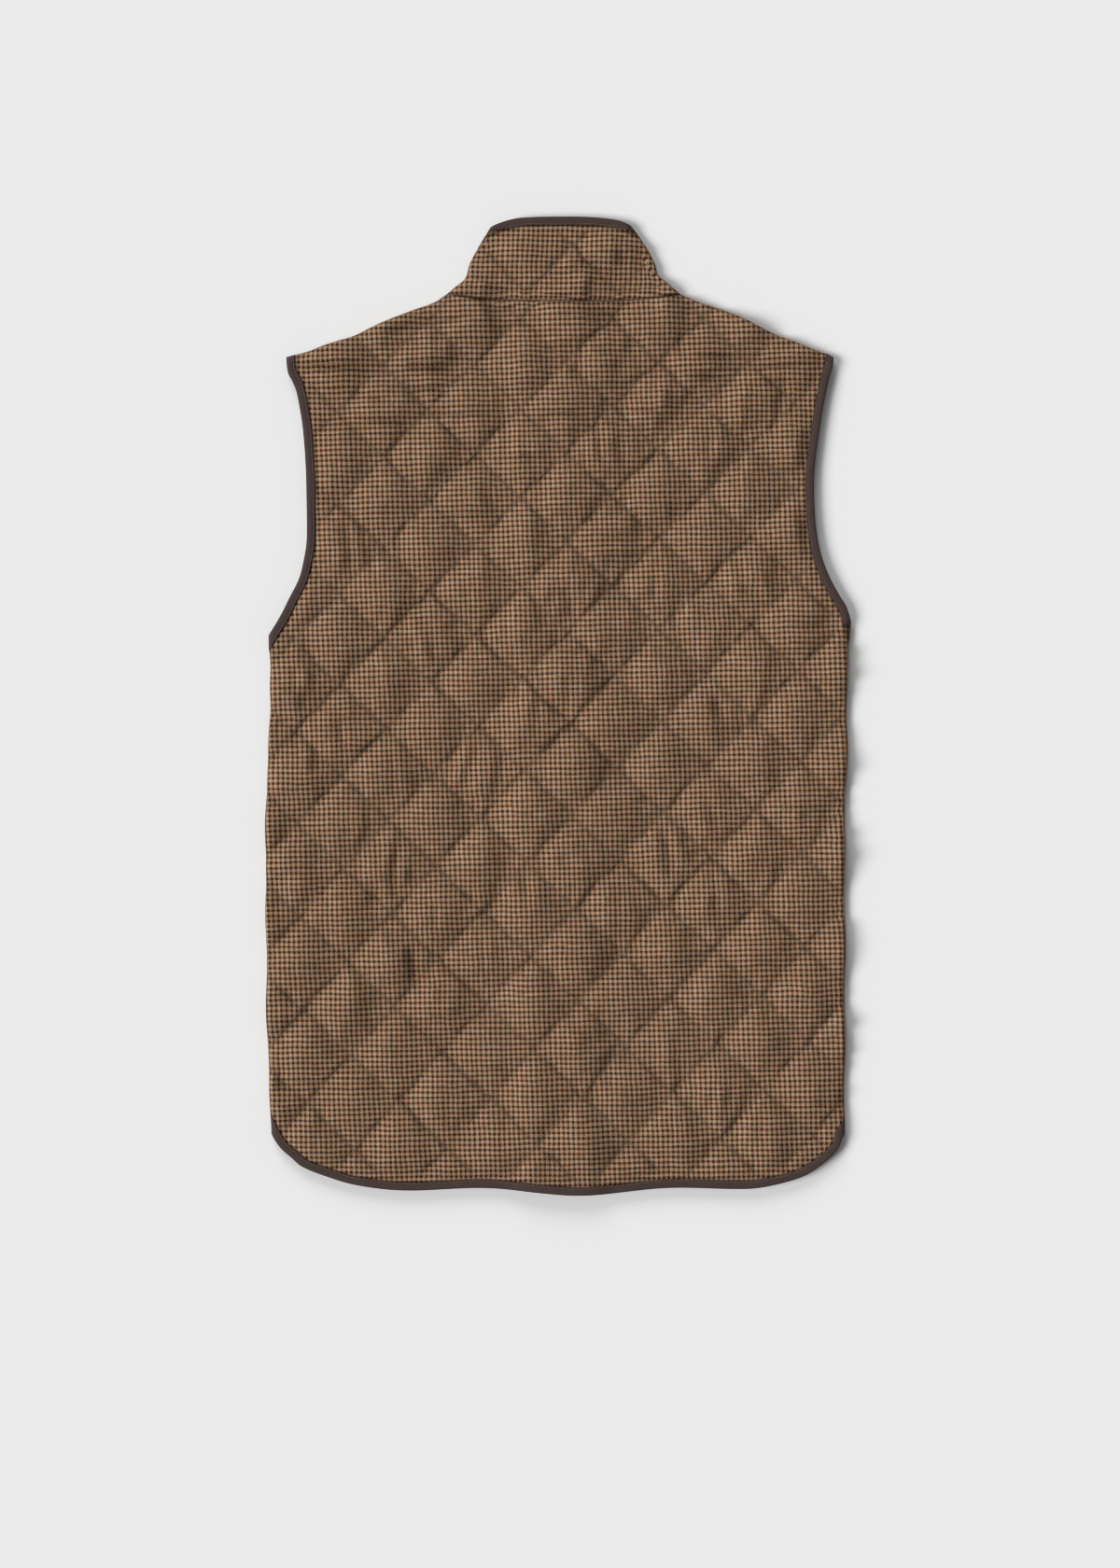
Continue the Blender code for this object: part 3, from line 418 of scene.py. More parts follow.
# ---- Sizes that the pieces share ----
@dataclass(frozen=True)
class Cloth:
    """Thicknesses and levels of the padded cloth and its folds."""

    plain: float = 0.0040
    gap: float = 0.0003
    pinch_low: float = 0.0010
    pinch_high: float = 0.0030
    pinch_end: float = 0.0077
    pinch_ramp: float = 0.0010
    stitched: float = 0.0026
    puff: float = 0.0069
    least: float = 0.0016
    fold_radius: float = 0.0048
    fold_lip: float = 0.0004
    seam_share: float = 0.06
    scallop: float = 0.0014
    scallop_fade: float = 0.020
    pad_ends: Pair = (0.006, 0.020)
    groove: float = 0.0016
    lift_ends: Pair = (0.018, 0.042)
    ridge_left: Pair = (-0.050, -0.020)
    ridge_right: Pair = (0.024, 0.054)
    ridge_fades: Pair = (0.356, 0.408)

    @property
    def rest(self) -> float:
        """Height of the back's inner face where it lies on one front."""
        return self.plain + self.gap

    def upper_base(self, points: Array) -> Array:
        """Find the height of the upper layer's inner face.

        Args:
            points: Plan points.

        Returns:
            One height for each point.
        """
        ridge = smooth_step(points[:, 0], *self.ridge_left)
        ridge *= 1.0 - smooth_step(points[:, 0], *self.ridge_right)
        ridge *= 1.0 - smooth_step(points[:, 1], *self.ridge_fades)
        return self.rest + self.rest * ridge

    def lower_base(self, points: Array, lifted: bool) -> Array:
        """Find the height of a front's outer face.

        Args:
            points: Plan points.
            lifted: Whether this front is the one that laps over the other.

        Returns:
            One height for each point.
        """
        if not lifted:
            return np.zeros(len(points))
        return self.rest * (1.0 - smooth_step(points[:, 0], *self.lift_ends))


CLOTH = Cloth()


@dataclass(frozen=True)
class Quilting:
    """The crossing lines of stitches that hold the padding, in diamonds."""

    middle: Pair
    width: float = 0.0784
    height: float = 0.07825
    lean: float = 0.0
    bow: float = 0.0
    stretch: float = 0.0
    tilt: float = 0.0
    tilt_lost: float = 0.9
    tilt_fades: Pair = (0.180, 0.345)
    power: float = 0.95
    softness: float = 0.055
    reach: int = 12
    rounds: int = 12

    @property
    def side(self) -> float:
        """Length of a diamond's side."""
        return math.hypot(self.width, self.height) / 2

    def coordinates(self, points: Array) -> tuple[Array, Array]:
        """Read quilting coordinates: a line of stitches runs where either is whole.

        Args:
            points: Plan points.

        Returns:
            The two coordinates.
        """
        down = points[:, 1] - self.middle[1]
        column = points[:, 0] - (self.middle[0] + self.lean * down + self.bow * down ** 2)
        tilt = self.tilt * (1.0 - self.tilt_lost * smooth_step(points[:, 1], *self.tilt_fades))
        down = down - tilt * column
        row = down / self.height + self.stretch * down ** 2
        column = column / self.width
        return column + row, column - row

    def places(self, shares: Array) -> Array:
        """Find the plan points that have the given quilting coordinates.

        Args:
            shares: Pairs of quilting coordinates.

        Returns:
            One plan point for each pair.
        """
        points = np.column_stack([
            self.middle[0] + (shares[:, 0] + shares[:, 1]) / 2 * self.width,
            self.middle[1] + (shares[:, 0] - shares[:, 1]) / 2 * self.height,
        ])
        for _ in range(self.rounds):
            missing = shares - np.column_stack(self.coordinates(points))
            points[:, 0] += (missing[:, 0] + missing[:, 1]) / 2 * self.width
            points[:, 1] += (missing[:, 0] - missing[:, 1]) / 2 * self.height
        return points

    def fullness(self, points: Array) -> Array:
        """Read how full the padding is, from 0 on a stitched line to 1 in a diamond.

        Args:
            points: Plan points.

        Returns:
            One share for each point.
        """
        first, second = self.coordinates(points)
        share = (np.sin(math.pi * first) * np.sin(math.pi * second)) ** 2
        least = self.softness ** self.power
        return np.maximum((share + self.softness ** 2) ** (self.power / 2) - least, 0.0) / (1.0 - least)

    def grid(self, steps: tuple[float, ...]) -> Array:
        """Lay plan points over every diamond, at the given shares of its sides."""
        line = [i + step for i in range(-self.reach, self.reach + 2) for step in steps]
        return self.places(np.array([(u, v) for u in line for v in line]))


BACK_QUILTING = Quilting(
    middle=(0.0096, -0.0148), lean=-0.021, bow=0.035, stretch=0.65, tilt=0.031,
)
COLLAR_QUILTING = Quilting(middle=(0.0118, 0.3932))
FRONT_QUILTING = Quilting(middle=(0.0020, -0.0300), lean=0.012, bow=-0.02, tilt=-0.012)


@dataclass
class Side:
    """One side of a panel, with points at even distances along it."""

    kind: EdgeKind
    curve: Array
    spacing: float = 0.0032
    bend_reach: float = 0.0015

    def __post_init__(self) -> None:
        """Measure the line and place the points."""
        self.reached = lengths_along(self.curve)
        self.length = float(self.reached[-1])
        count = max(4, round(self.length / self.spacing))
        self.stations = np.linspace(0.0, self.length, count + 1)

    def at(self, distances: Array) -> tuple[Array, Array]:
        """Find places along the side.

        Args:
            distances: Distances from the side's start.

        Returns:
            The points, and the normals that point into the panel.
        """
        asked = np.atleast_1d(distances)
        distances = np.clip(asked, 0.0, self.length)
        near = np.clip(distances - self.bend_reach, 0.0, self.length)
        far = np.clip(distances + self.bend_reach, 0.0, self.length)
        read = [
            np.column_stack([np.interp(d, self.reached, self.curve[:, i]) for i in (0, 1)])
            for d in (distances, near, far)
        ]
        slope = read[2] - read[1]
        slope /= np.linalg.norm(slope, axis=1)[:, None]
        places = read[0] + slope * (asked - distances)[:, None]
        return places, np.column_stack([-slope[:, 1], slope[:, 0]])

    def end(self, last: bool) -> tuple[Array, Array]:
        """Find the point and normal at the near or the last end."""
        place, normal = self.at(np.array([self.length if last else 0.0]))
        return place[0], normal[0]


def scalloped(curve: Array) -> Array:
    """Pull a fold's line in where the quilting lines meet it.

    Args:
        curve: The fold's line.

    Returns:
        The line with its shallow scallops.
    """
    reached = lengths_along(curve)
    slope = np.gradient(curve, axis=0)
    slope /= np.linalg.norm(slope, axis=1)[:, None]
    inward = np.column_stack([-slope[:, 1], slope[:, 0]])
    ends = smooth_step(reached, 0.0, CLOTH.scallop_fade)
    ends *= smooth_step(reached[-1] - reached, 0.0, CLOTH.scallop_fade)
    pull = CLOTH.scallop * (1.0 - BACK_QUILTING.fullness(curve)) * ends
    return curve + inward * pull[:, None]


# ---- Meshes ----
def make_object(
    name: str, points: Array, faces: Faces, finish: Material,
    weave: Array | None = None, painted_shade: Array | None = None,
) -> Piece:
    """Make a piece from its points and faces.

    Args:
        name: The piece's name.
        points: Places in metres.
        faces: Rows of point numbers, anticlockwise from outside.
        finish: The piece's material.
        weave: Where each point lies on the flat cloth, in metres.
        painted_shade: How far light is kept from each point, from 0 to 1.

    Returns:
        The new object.
    """
    mesh = bpy.data.meshes.new(name)
    mesh.from_pydata(points.tolist(), [], faces)
    mesh.shade_smooth()
    if weave is not None:
        layer = mesh.uv_layers.new(name="weave")
        corners = np.zeros(len(mesh.loops), np.int32)
        mesh.loops.foreach_get("vertex_index", corners)
        layer.data.foreach_set("uv", weave[corners].astype(np.float32).ravel())
    # Painted shade is kept on each point, and the cloth's colour is darkened by it.
    if painted_shade is not None:
        shades = mesh.attributes.new("painted_shade", "FLOAT", "POINT")
        shades.data.foreach_set("value", painted_shade.astype(np.float32))
    mesh.materials.append(finish)
    piece = bpy.data.objects.new(name, mesh)
    bpy.context.scene.collection.objects.link(piece)
    return piece


@dataclass(frozen=True)
class Thread:
    """A row of separate stitches."""

    pitch: float = 0.0040
    length: float = 0.0033
    radius: float = 0.00024
    arch: float = 1.3
    sunk: float = 0.75
    look_ahead: float = 0.0003
    sides: int = 4
    stations: int = 4

    def along(self, path: Array) -> tuple[Array, Faces]:
        """Lay stitches along a path.

        Args:
            path: Points on the surface that the stitches lie on.

        Returns:
            Points and faces of the stitches.
        """
        reached = lengths_along(path)
        count = int(reached[-1] / self.pitch)
        if count < 1:
            return np.zeros((0, 3)), []
        starts = (np.arange(count) + 0.5) * self.pitch - self.length / 2
        shares = np.linspace(0.0, 1.0, self.stations)
        distances = (starts[:, None] + shares[None, :] * self.length).ravel()
        middle = np.column_stack([np.interp(distances, reached, path[:, i]) for i in range(3)])
        ahead = np.column_stack([
            np.interp(distances + self.look_ahead, reached, path[:, i])
            - np.interp(distances - self.look_ahead, reached, path[:, i]) for i in range(3)
        ])
        ahead /= np.maximum(np.linalg.norm(ahead, axis=1), NO_LENGTH)[:, None]
        aside = np.cross(ahead, np.array([0.0, 0.0, 1.0]))
        aside /= np.maximum(np.linalg.norm(aside, axis=1), NO_LENGTH)[:, None]
        up = np.cross(aside, ahead)
        arch = np.tile(np.sin(math.pi * shares), count) * self.arch - self.sunk
        middle = middle + up * (arch * self.radius)[:, None]
        turns = (np.arange(self.sides) + 0.5) / self.sides * 2 * math.pi
        points = (
            middle[:, None, :] + aside[:, None, :] * np.cos(turns)[None, :, None] * self.radius
            + up[:, None, :] * np.sin(turns)[None, :, None] * self.radius
        ).reshape(-1, 3)
        pattern = []
        for i in range(self.stations - 1):
            for j in range(self.sides):
                k = (j + 1) % self.sides
                low, high = i * self.sides, (i + 1) * self.sides
                pattern.append((low + j, high + j, high + k, low + k))
        pattern.append(tuple(range(self.sides)))
        pattern.append(tuple((self.stations - 1) * self.sides + j for j in range(self.sides))[::-1])
        size = self.stations * self.sides
        faces = [tuple(n * size + v for v in face) for n in range(count) for face in pattern]
        return points, faces


@dataclass
class Gathered:
    """Meshes gathered into one piece."""

    points: list[Array] = field(default_factory=list)
    faces: Faces = field(default_factory=list)
    count: int = 0

    def add(self, points: Array, faces: Faces) -> None:
        """Add a mesh.

        Args:
            points: Its points.
            faces: Its faces.
        """
        self.points.append(points)
        self.faces += [tuple(self.count + v for v in face) for face in faces]
        self.count += len(points)

    def make(self, name: str, finish: Material) -> Piece:
        """Make the gathered piece."""
        return make_object(name, np.vstack(self.points), self.faces, finish)


# ---- The padded panels ----
# Distances of the rings of points inside each kind of edge, on the shown and the hidden face.
RINGS_FINE: dict[EdgeKind, tuple[float, ...]] = {
    EdgeKind.BOUND: (0.0010, 0.0060, 0.0070, 0.0075, 0.0080, 0.0086, 0.0093, 0.0102),
    EdgeKind.FOLD: (0.0, 0.0002, 0.0007, 0.0015, 0.0026, 0.0040, 0.0058, 0.0080),
    EdgeKind.BUTT: (0.00015, 0.0004, 0.0008, 0.0014, 0.0022, 0.0032, 0.0046, 0.0064),
}
RINGS_INSIDE: dict[EdgeKind, tuple[float, ...]] = {
    EdgeKind.BOUND: (0.0010, 0.0070, 0.0084),
    EdgeKind.FOLD: (0.0, 0.0020, 0.0048),
    EdgeKind.BUTT: (0.00015, 0.0020, 0.0050),
}
# Where the points fall along a diamond's side, on the upper and the lower panels.
STEPS_FINE: tuple[float, ...] = (
    0.0, 0.012, 0.030, 0.055, 0.088, 0.130, 0.180, 0.235, 0.290, 0.345, 0.400, 0.450, 0.500,
    0.550, 0.600, 0.655, 0.710, 0.765, 0.820, 0.870, 0.912, 0.945, 0.970, 0.988,
)
STEPS_UNDER: tuple[float, ...] = (
    0.0, 0.020, 0.050, 0.100, 0.180, 0.300, 0.430, 0.570, 0.700, 0.820, 0.900, 0.950, 0.980,
)


@dataclass(frozen=True)
class Unevenness:
    """How far the padded diamonds differ from each other and from a smooth form."""

    size: float = 0.10
    lean: float = 0.28
    depth: float = 0.0012
    broad: float = 0.045
    small: float = 0.014
    shares: Pair = (0.7, 0.3)


@dataclass(frozen=True)
class Puckers:
    """Short ridges that run out from both sides of each quilting line."""

    height: float = 0.00330
    reach: float = 0.0090
    size: float = 0.0080
    hold: float = 0.0036
    slants: Pair = (0.35, 0.25)
    line_step: float = 5.0
    side_step: float = 2.0


@dataclass(frozen=True)
class Pleats:
    """Longer ridges that run down the loose cloth of each diamond and sway."""

    height: float = 0.00320
    size: Pair = (0.0090, 0.024)
    lean: float = 0.22
    sway: float = 0.0032
    sway_size: Pair = (0.021, 0.013)
    strength: Pair = (0.55, 0.45)


@dataclass(frozen=True)
class Gathers:
    """Fine ridges that run across, fullest near the folds and on the yoke."""

    height: float = 0.00430
    size: Pair = (0.034, 0.0056)
    fold_reach: float = 0.055
    yoke: Pair = (0.200, 0.300)
    least: float = 0.50


@dataclass(frozen=True)
class CreaseForm:
    """The form of a crease: its bow, its section in half widths, its painted shade and its rows of points.
    """

    bend: float = 0.012
    points: int = 9
    fade: Pair = (0.35, 0.65)
    tips: Pair = (0.04, 0.96)
    pushed_up: float = 0.30
    pushed_at: float = 1.9
    pushed_width: float = 0.8
    dark: float = 0.52
    dark_width: float = 0.0022
    dark_depth: float = 0.0036
    past: float = 0.002
    step: float = 0.0022
    rows: tuple[float, ...] = (-0.0024, -0.0009, 0.0, 0.0009, 0.0024)


@dataclass(frozen=True)
class OverlapForm:
    """The step below a folded-over edge."""

    drop: float = 0.0022
    edge: float = 0.0009
    ends: float = 0.012
    groove: float = 0.45


@dataclass(frozen=True)
class StudDent:
    """The round dent that a press stud pulls into the cloth, and its rings of points."""

    depth: float = 0.0014
    rim: float = 0.0066
    rings: tuple[float, ...] = (0.0020, 0.0050, 0.0066, 0.0080, 0.0095, 0.0110)
    corners: int = 16


@dataclass(frozen=True)
class Shade:
    """How much shade is painted into the cloth's colour in the grooves of the quilting, the seams and the
    bindings.
    """

    quilting: float = 0.30
    quilting_width: float = 0.0021
    butt: float = 0.60
    butt_ends: Pair = (0.0006, 0.0024)
    bound: float = 0.8
    bound_ends: Pair = (0.0072, 0.0092)


@dataclass(frozen=True)
class StitchPlaces:
    """Where the quilting stitches end before an edge, and how they follow their line."""

    bound: float = 0.0095
    fold: float = 0.0026
    butt: float = 0.0030
    rise: float = 0.0002
    steps: int = 14
    fewest: int = 3


@dataclass
class PanelCloth:
    """A panel of quilted cloth, as a closed shell on the form of its solid."""

    node: str
    sides: list[Side]
    layer: Layer
    quilting: Quilting
    creases: Table
    seed: int
    cloth: Cloth = CLOTH
    uneven: Unevenness = Unevenness()
    puckers: Puckers = Puckers()
    pleats: Pleats = Pleats()
    gathers: Gathers = Gathers()
    crease: CreaseForm = CreaseForm()
    overlap_form: OverlapForm = OverlapForm()
    dent: StudDent = StudDent()
    shade: Shade = Shade()
    stitches: StitchPlaces = StitchPlaces()
    overlap: Table = ()
    studs: Table = ()
    padding: float = 1.0
    bound_past: float = 0.013
    corner_reach: float = 0.060
    straight_turn: float = 0.3
    margin: float = 0.0016
    inside_grid: float = 0.016
    inside_margin: float = 0.4
    seam_radius: float = 0.0042
    groove_share: float = 0.42
    lip_share: float = 0.3
    inner_rises: Pair = (0.0009, 0.0010)
    grain: Pair = (0.035, -0.017)
    wander: float = 0.0004
    wander_size: float = 0.022
    longest_roll: float = 0.01

    @property
    def upper(self) -> bool:
        """Whether the panel is in the upper layer."""
        return self.layer is Layer.UPPER

    def curves(self, kind: EdgeKind) -> list[Array]:
        """List the lines of one kind of edge. A bound one counts past its ends.

        Args:
            kind: The kind of edge.

        Returns:
            The lines.
        """
        found = [side.curve for side in self.sides if side.kind is kind]
        if kind is EdgeKind.BOUND:
            found = [lengthened(curve, self.bound_past) for curve in found]
        return found

    def waves(self, draw: Draw) -> Waves:
        """Choose the waves of one uneven feature."""
        return Waves(self.seed + draw.value)

    def base(self, points: Array) -> Array:
        """Find the height of the panel's lower side.

        Args:
            points: Plan points.

        Returns:
            One height for each point.
        """
        if self.upper:
            return self.cloth.upper_base(points)
        return self.cloth.lower_base(points, self.layer is Layer.LOWER_LIFTED)

    def folded(self, points: Array) -> Array:
        """Read the share of the full height that a fold leaves at each point."""
        return roundness(distance_to(points, self.curves(EdgeKind.FOLD)), self.cloth.fold_radius)

    def quilted_wall(self, points: Array) -> Array:
        """Work out the padding's rise, with all that makes it uneven.

        Args:
            points: Plan points.

        Returns:
            The rise above the stitched wall.
        """
        full = self.quilting.fullness(points)
        rise = self.diamonds(points, full) + self.pucker_rise(points)
        return rise + np.sqrt(full) * (self.pleat_rise(points) + self.gather_rise(points))

    def diamonds(self, points: Array, full: Array) -> Array:
        """Work out the padded diamonds, each of its own height and lean.

        Args:
            points: Plan points.
            full: How full the padding is at each point.

        Returns:
            The rise at each point.
        """
        first, second = self.quilting.coordinates(points)
        shape = 1.0 + self.uneven.size * self.waves(Draw.SIZE).cell(first, second)
        for draw, across in ((Draw.LEAN_FIRST, first), (Draw.LEAN_SECOND, second)):
            lean = self.waves(draw).cell(first, second)
            shape += self.uneven.lean * lean * (across - np.floor(across) - 0.5)
        broad = self.waves(Draw.BROAD).over(points, self.uneven.broad, self.uneven.broad)
        small = self.waves(Draw.SMALL).over(points, self.uneven.small, self.uneven.small)
        rough = self.uneven.depth * (self.uneven.shares[0] * broad + self.uneven.shares[1] * small)
        return full * (self.cloth.puff * self.padding * shape + rough)

    def pucker_rise(self, points: Array) -> Array:
        """Work out the puckers, which differ from line to line and from side to side.

        Args:
            points: Plan points.

        Returns:
            The rise at each point.
        """
        rise = np.zeros(len(points))
        form, side = self.puckers, self.quilting.side
        first, second = self.quilting.coordinates(points)
        rows = ((Draw.PUCKER_FIRST, first, second), (Draw.PUCKER_SECOND, second, first))
        for draw, across, along in rows:
            line = np.round(across)
            near = np.abs(across - line) * side
            waves = self.waves(draw).at(
                along * side / form.size + form.slants[0] * near / form.size,
                line * form.line_step + form.slants[1] * near / form.size + (across > line) * form.side_step,
            )
            rise += form.height * waves * np.clip(near / form.hold, 0.0, 1.0) * np.exp(-near / form.reach)
        return rise

    def pleat_rise(self, points: Array) -> Array:
        """Work out the pleats, whose lean and strength change from diamond to diamond.

        Args:
            points: Plan points.

        Returns:
            The rise at each point where the cloth is loose.
        """
        form = self.pleats
        first, second = self.quilting.coordinates(points)
        lean = form.lean * self.waves(Draw.PLEAT_LEAN).cell(first, second)
        sway = self.waves(Draw.PLEAT_SWAY).over(points, *form.sway_size)
        across = points[:, 0] + lean * points[:, 1] + form.sway * sway
        pleats = self.waves(Draw.PLEAT).at(across / form.size[0], points[:, 1] / form.size[1])
        strength = self.waves(Draw.PLEAT_STRENGTH).cell(first, second)
        return form.height * pleats * (form.strength[0] + form.strength[1] * strength)

    def gather_rise(self, points: Array) -> Array:
        """Work out the gathers.

        Args:
            points: Plan points.

        Returns:
            The rise at each point where the cloth is loose.
        """
        form = self.gathers
        fold = distance_to(points, self.curves(EdgeKind.FOLD))
        where = 1.0 - smooth_step(fold, 0.0, form.fold_reach)
        where = np.maximum(where, smooth_step(points[:, 1], *form.yoke))
        return form.height * self.waves(Draw.GATHER).over(points, *form.size) * np.maximum(where, form.least)

    def crease_lines(self) -> list[Array]:
        """Draw each crease as a slightly bowed line.

        Returns:
            The lines, in the order of the creases.
        """
        lines = []
        for i, (from_x, from_y, to_x, to_y, _, _) in enumerate(self.creases):
            start, along = np.array([from_x, from_y]), np.array([to_x - from_x, to_y - from_y])
            shares = np.linspace(0.0, 1.0, self.crease.points)[:, None]
            bend = np.sin(math.pi * shares) * self.crease.bend * (1.0 if i % 2 else -1.0)
            lines.append(start + along * shares + np.array([-along[1], along[0]]) * bend)
        return lines

    def creased(self, points: Array) -> tuple[Array, Array]:
        """Work out the creases' depth, with the cloth pushed up beside them, and the shade that is painted
        in them.

        Args:
            points: Plan points.

        Returns:
            For each point a depth, and a share of the light that is kept out.
        """
        form = self.crease
        depth, shade = np.zeros(len(points)), np.zeros(len(points))
        for line, (*_, deep, wide) in zip(self.crease_lines(), self.creases):
            along = line[-1] - line[0]
            share = np.clip(((points - line[0]) @ along) / (along @ along), 0.0, 1.0)
            fade = form.fade[0] + form.fade[1] * np.sin(math.pi * np.clip(share, *form.tips))
            gap = distance_to(points, [line])
            away = gap / wide
            beside = form.pushed_up * np.exp(-((away - form.pushed_at) / form.pushed_width) ** 2)
            depth += deep * fade * (np.exp(-away ** 2) - beside)
            dark = form.dark * np.clip(form.dark_depth / wide, 0.0, 1.0) * deep / form.dark_depth
            shade = np.maximum(shade, dark * fade ** 2 * np.exp(-(gap / form.dark_width) ** 2))
        return depth, shade

    def overlap_depth(self, points: Array) -> Array:
        """Work out how far the cloth beyond a folded-over edge lies below it.

        Args:
            points: Plan points.

        Returns:
            One depth for each point.
        """
        if not self.overlap:
            return np.zeros(len(points))
        form = self.overlap_form
        curve = smooth_curve(self.overlap)
        span, reached = np.diff(curve, axis=0), lengths_along(curve)
        away, sign, place = np.full(len(points), FAR), np.zeros(len(points)), np.zeros(len(points))
        for start, along, begun in zip(curve[:-1], span, reached):
            offset = points - start
            share = np.clip(offset @ along / (along @ along), 0.0, 1.0)
            gap = np.linalg.norm(offset - share[:, None] * along, axis=1)
            nearer = gap < away
            away[nearer] = gap[nearer]
            sign[nearer] = np.sign(along[0] * offset[:, 1] - along[1] * offset[:, 0])[nearer]
            place[nearer] = (begun + share * np.linalg.norm(along))[nearer]
        ends = smooth_step(place, 0.0, form.ends)
        ends *= 1.0 - smooth_step(place, reached[-1] - form.ends, reached[-1])
        signed = sign * away
        step = smooth_step(signed, -form.edge / 2, form.edge / 2)
        groove = form.groove * np.exp(-((signed - form.edge) / form.edge) ** 2)
        return form.drop * (step + groove) * ends

    def pinched(self, bound: Array) -> Array:
        """Read how far a binding pinches the cloth, from 1 under it to 0 past it."""
        half = self.cloth.pinch_ramp / 2
        return 1.0 - smooth_step(bound, self.cloth.pinch_end - half, self.cloth.pinch_end + half)

    def outer_height(self, points: Array) -> Array:
        """Find the height of the face that shows.

        Args:
            points: Plan points.

        Returns:
            One height for each point.
        """
        bound = distance_to(points, self.curves(EdgeKind.BOUND))
        butt = distance_to(points, self.curves(EdgeKind.BUTT))
        seam = self.cloth.seam_share
        seam = seam + (1.0 - seam) * roundness(butt, self.seam_radius)
        fold = self.folded(points)
        base = self.base(points)
        padded = smooth_step(bound, *self.cloth.pad_ends)
        pinch = self.pinched(bound)
        if self.upper:
            wall = self.cloth.stitched + self.quilted_wall(points) * padded
            wall = wall - self.creased(points)[0] * padded
            wall = np.maximum(wall, self.cloth.least) - self.overlap_depth(points) * padded
            outer = base + np.maximum(wall * seam * fold, self.cloth.fold_lip)
            held = base + np.maximum(self.cloth.pinch_high * fold, self.cloth.fold_lip)
            return outer + (held - outer) * pinch
        inner = base + self.cloth.plain
        full = self.quilting.fullness(points)
        groove = self.cloth.groove * (1.0 - smooth_step(full, 0.0, self.groove_share))
        groove = groove + np.clip(self.creased(points)[0], 0.0, 1.0)
        for stud in self.studs:
            away = np.linalg.norm(points - stud, axis=1)
            dent = self.dent.depth * (1.0 - smooth_step(away, self.dent.rim, self.dent.rings[-1]))
            groove = np.maximum(groove, dent)
        wall = self.cloth.plain - np.minimum(groove * padded, self.cloth.plain - self.cloth.least)
        outer = inner - np.maximum(wall * seam * fold, self.cloth.fold_lip)
        held = base + self.cloth.pinch_low
        return outer + (np.maximum(held, outer) - outer) * pinch

    def inner_height(self, points: Array) -> Array:
        """Find the height of the face that lies against the other layer.

        Args:
            points: Plan points.

        Returns:
            One height for each point.
        """
        pinch = self.pinched(distance_to(points, self.curves(EdgeKind.BOUND)))
        base, fold = self.base(points), self.folded(points)
        upper_rise, lower_rise = self.inner_rises
        if self.upper:
            lip = self.lip_share * self.cloth.fold_lip
            return base + np.minimum(self.cloth.pinch_low, lip + upper_rise * fold) * pinch
        held = np.minimum(self.cloth.plain - self.cloth.pinch_high, lower_rise * fold)
        return base + self.cloth.plain - held * pinch

    def ring(self, offsets: dict[EdgeKind, tuple[float, ...]], index: int) -> tuple[Array, Array]:
        """Draw the closed line inside the sides by each kind's own distance.

        Args:
            offsets: Distances for each kind of edge.
            index: Which of the distances.

        Returns:
            The line's points, and at each the normal that points into the panel.
        """
        corners = []
        for before, after in zip(self.sides[-1:] + self.sides[:-1], self.sides):
            (place, second), (_, first) = after.end(False), before.end(True)
            one, two = offsets[before.kind][index], offsets[after.kind][index]
            turn = first[0] * second[1] - first[1] * second[0]
            if abs(turn) < self.straight_turn:
                step = (first + second) / np.linalg.norm(first + second) * (one + two) / 2
            else:
                step = np.array([
                    (one * second[1] - two * first[1]) / turn, (two * first[0] - one * second[0]) / turn,
                ])
            middle = first + second
            corners.append((place + step, step, middle / np.linalg.norm(middle)))
        points, normals = [], []
        for i, side in enumerate(self.sides):
            place, step, middle = corners[i]
            points.append(place[None, :])
            normals.append(middle[None, :])
            start, end = side.end(False)[1], side.end(True)[1]
            first = step @ np.array([start[1], -start[0]])
            last = corners[(i + 1) % len(self.sides)][1] @ np.array([end[1], -end[0]])
            reach = min(self.corner_reach, side.length / 2)
            stations = side.stations[1:-1]
            moved = stations + first * np.maximum(1.0 - stations / reach, 0.0)
            moved = moved + last * np.maximum(1.0 - (side.length - stations) / reach, 0.0)
            places, inward = side.at(moved)
            points.append(places + inward * offsets[side.kind][index])
            normals.append(inward)
        return np.vstack(points), np.vstack(normals)

    def filling(self, outline: Array, fine: bool) -> Array:
        """Choose the points inside the last ring.

        Args:
            outline: The last ring.
            fine: True for the face that shows.

        Returns:
            Plan points.
        """
        if fine:
            points = self.quilting.grid(STEPS_FINE if self.upper else STEPS_UNDER)
            points = self.with_studs(self.with_creases(points))
        else:
            low, high = outline.min(axis=0), outline.max(axis=0)
            points = np.array([
                (x, y) for x in np.arange(low[0], high[0], self.inside_grid)
                for y in np.arange(low[1], high[1], self.inside_grid)
            ])
        points = points[contains(outline, points)]
        margin = self.margin if fine else self.inside_grid * self.inside_margin
        return points[distance_to(points, [np.vstack([outline, outline[:1]])]) > margin]

    def with_creases(self, points: Array) -> Array:
        """Lay rows of points along the creases of an upper panel, in place of those near them.

        Args:
            points: Plan points.

        Returns:
            Plan points.
        """
        if not self.upper or not self.creases:
            return points
        lines = [lengthened(line, self.crease.past) for line in self.crease_lines()]
        points = points[distance_to(points, lines) > 2 * self.margin]
        for line in lines:
            row = Side(EdgeKind.BUTT, line)
            places, inward = row.at(np.arange(0.0, row.length, self.crease.step))
            points = np.vstack([points] + [places + inward * away for away in self.crease.rows])
        return points

    def with_studs(self, points: Array) -> Array:
        """Lay rings of points round the studs, in place of those near them.

        Args:
            points: Plan points.

        Returns:
            Plan points.
        """
        turns = np.arange(self.dent.corners) / self.dent.corners * 2 * math.pi
        circle = np.column_stack([np.cos(turns), np.sin(turns)])
        for stud in self.studs:
            away = np.linalg.norm(points - stud, axis=1)
            kept = points[away > self.dent.rings[-1] + self.margin]
            points = np.vstack([kept] + [np.array(stud) + circle * radius for radius in self.dent.rings])
        return points

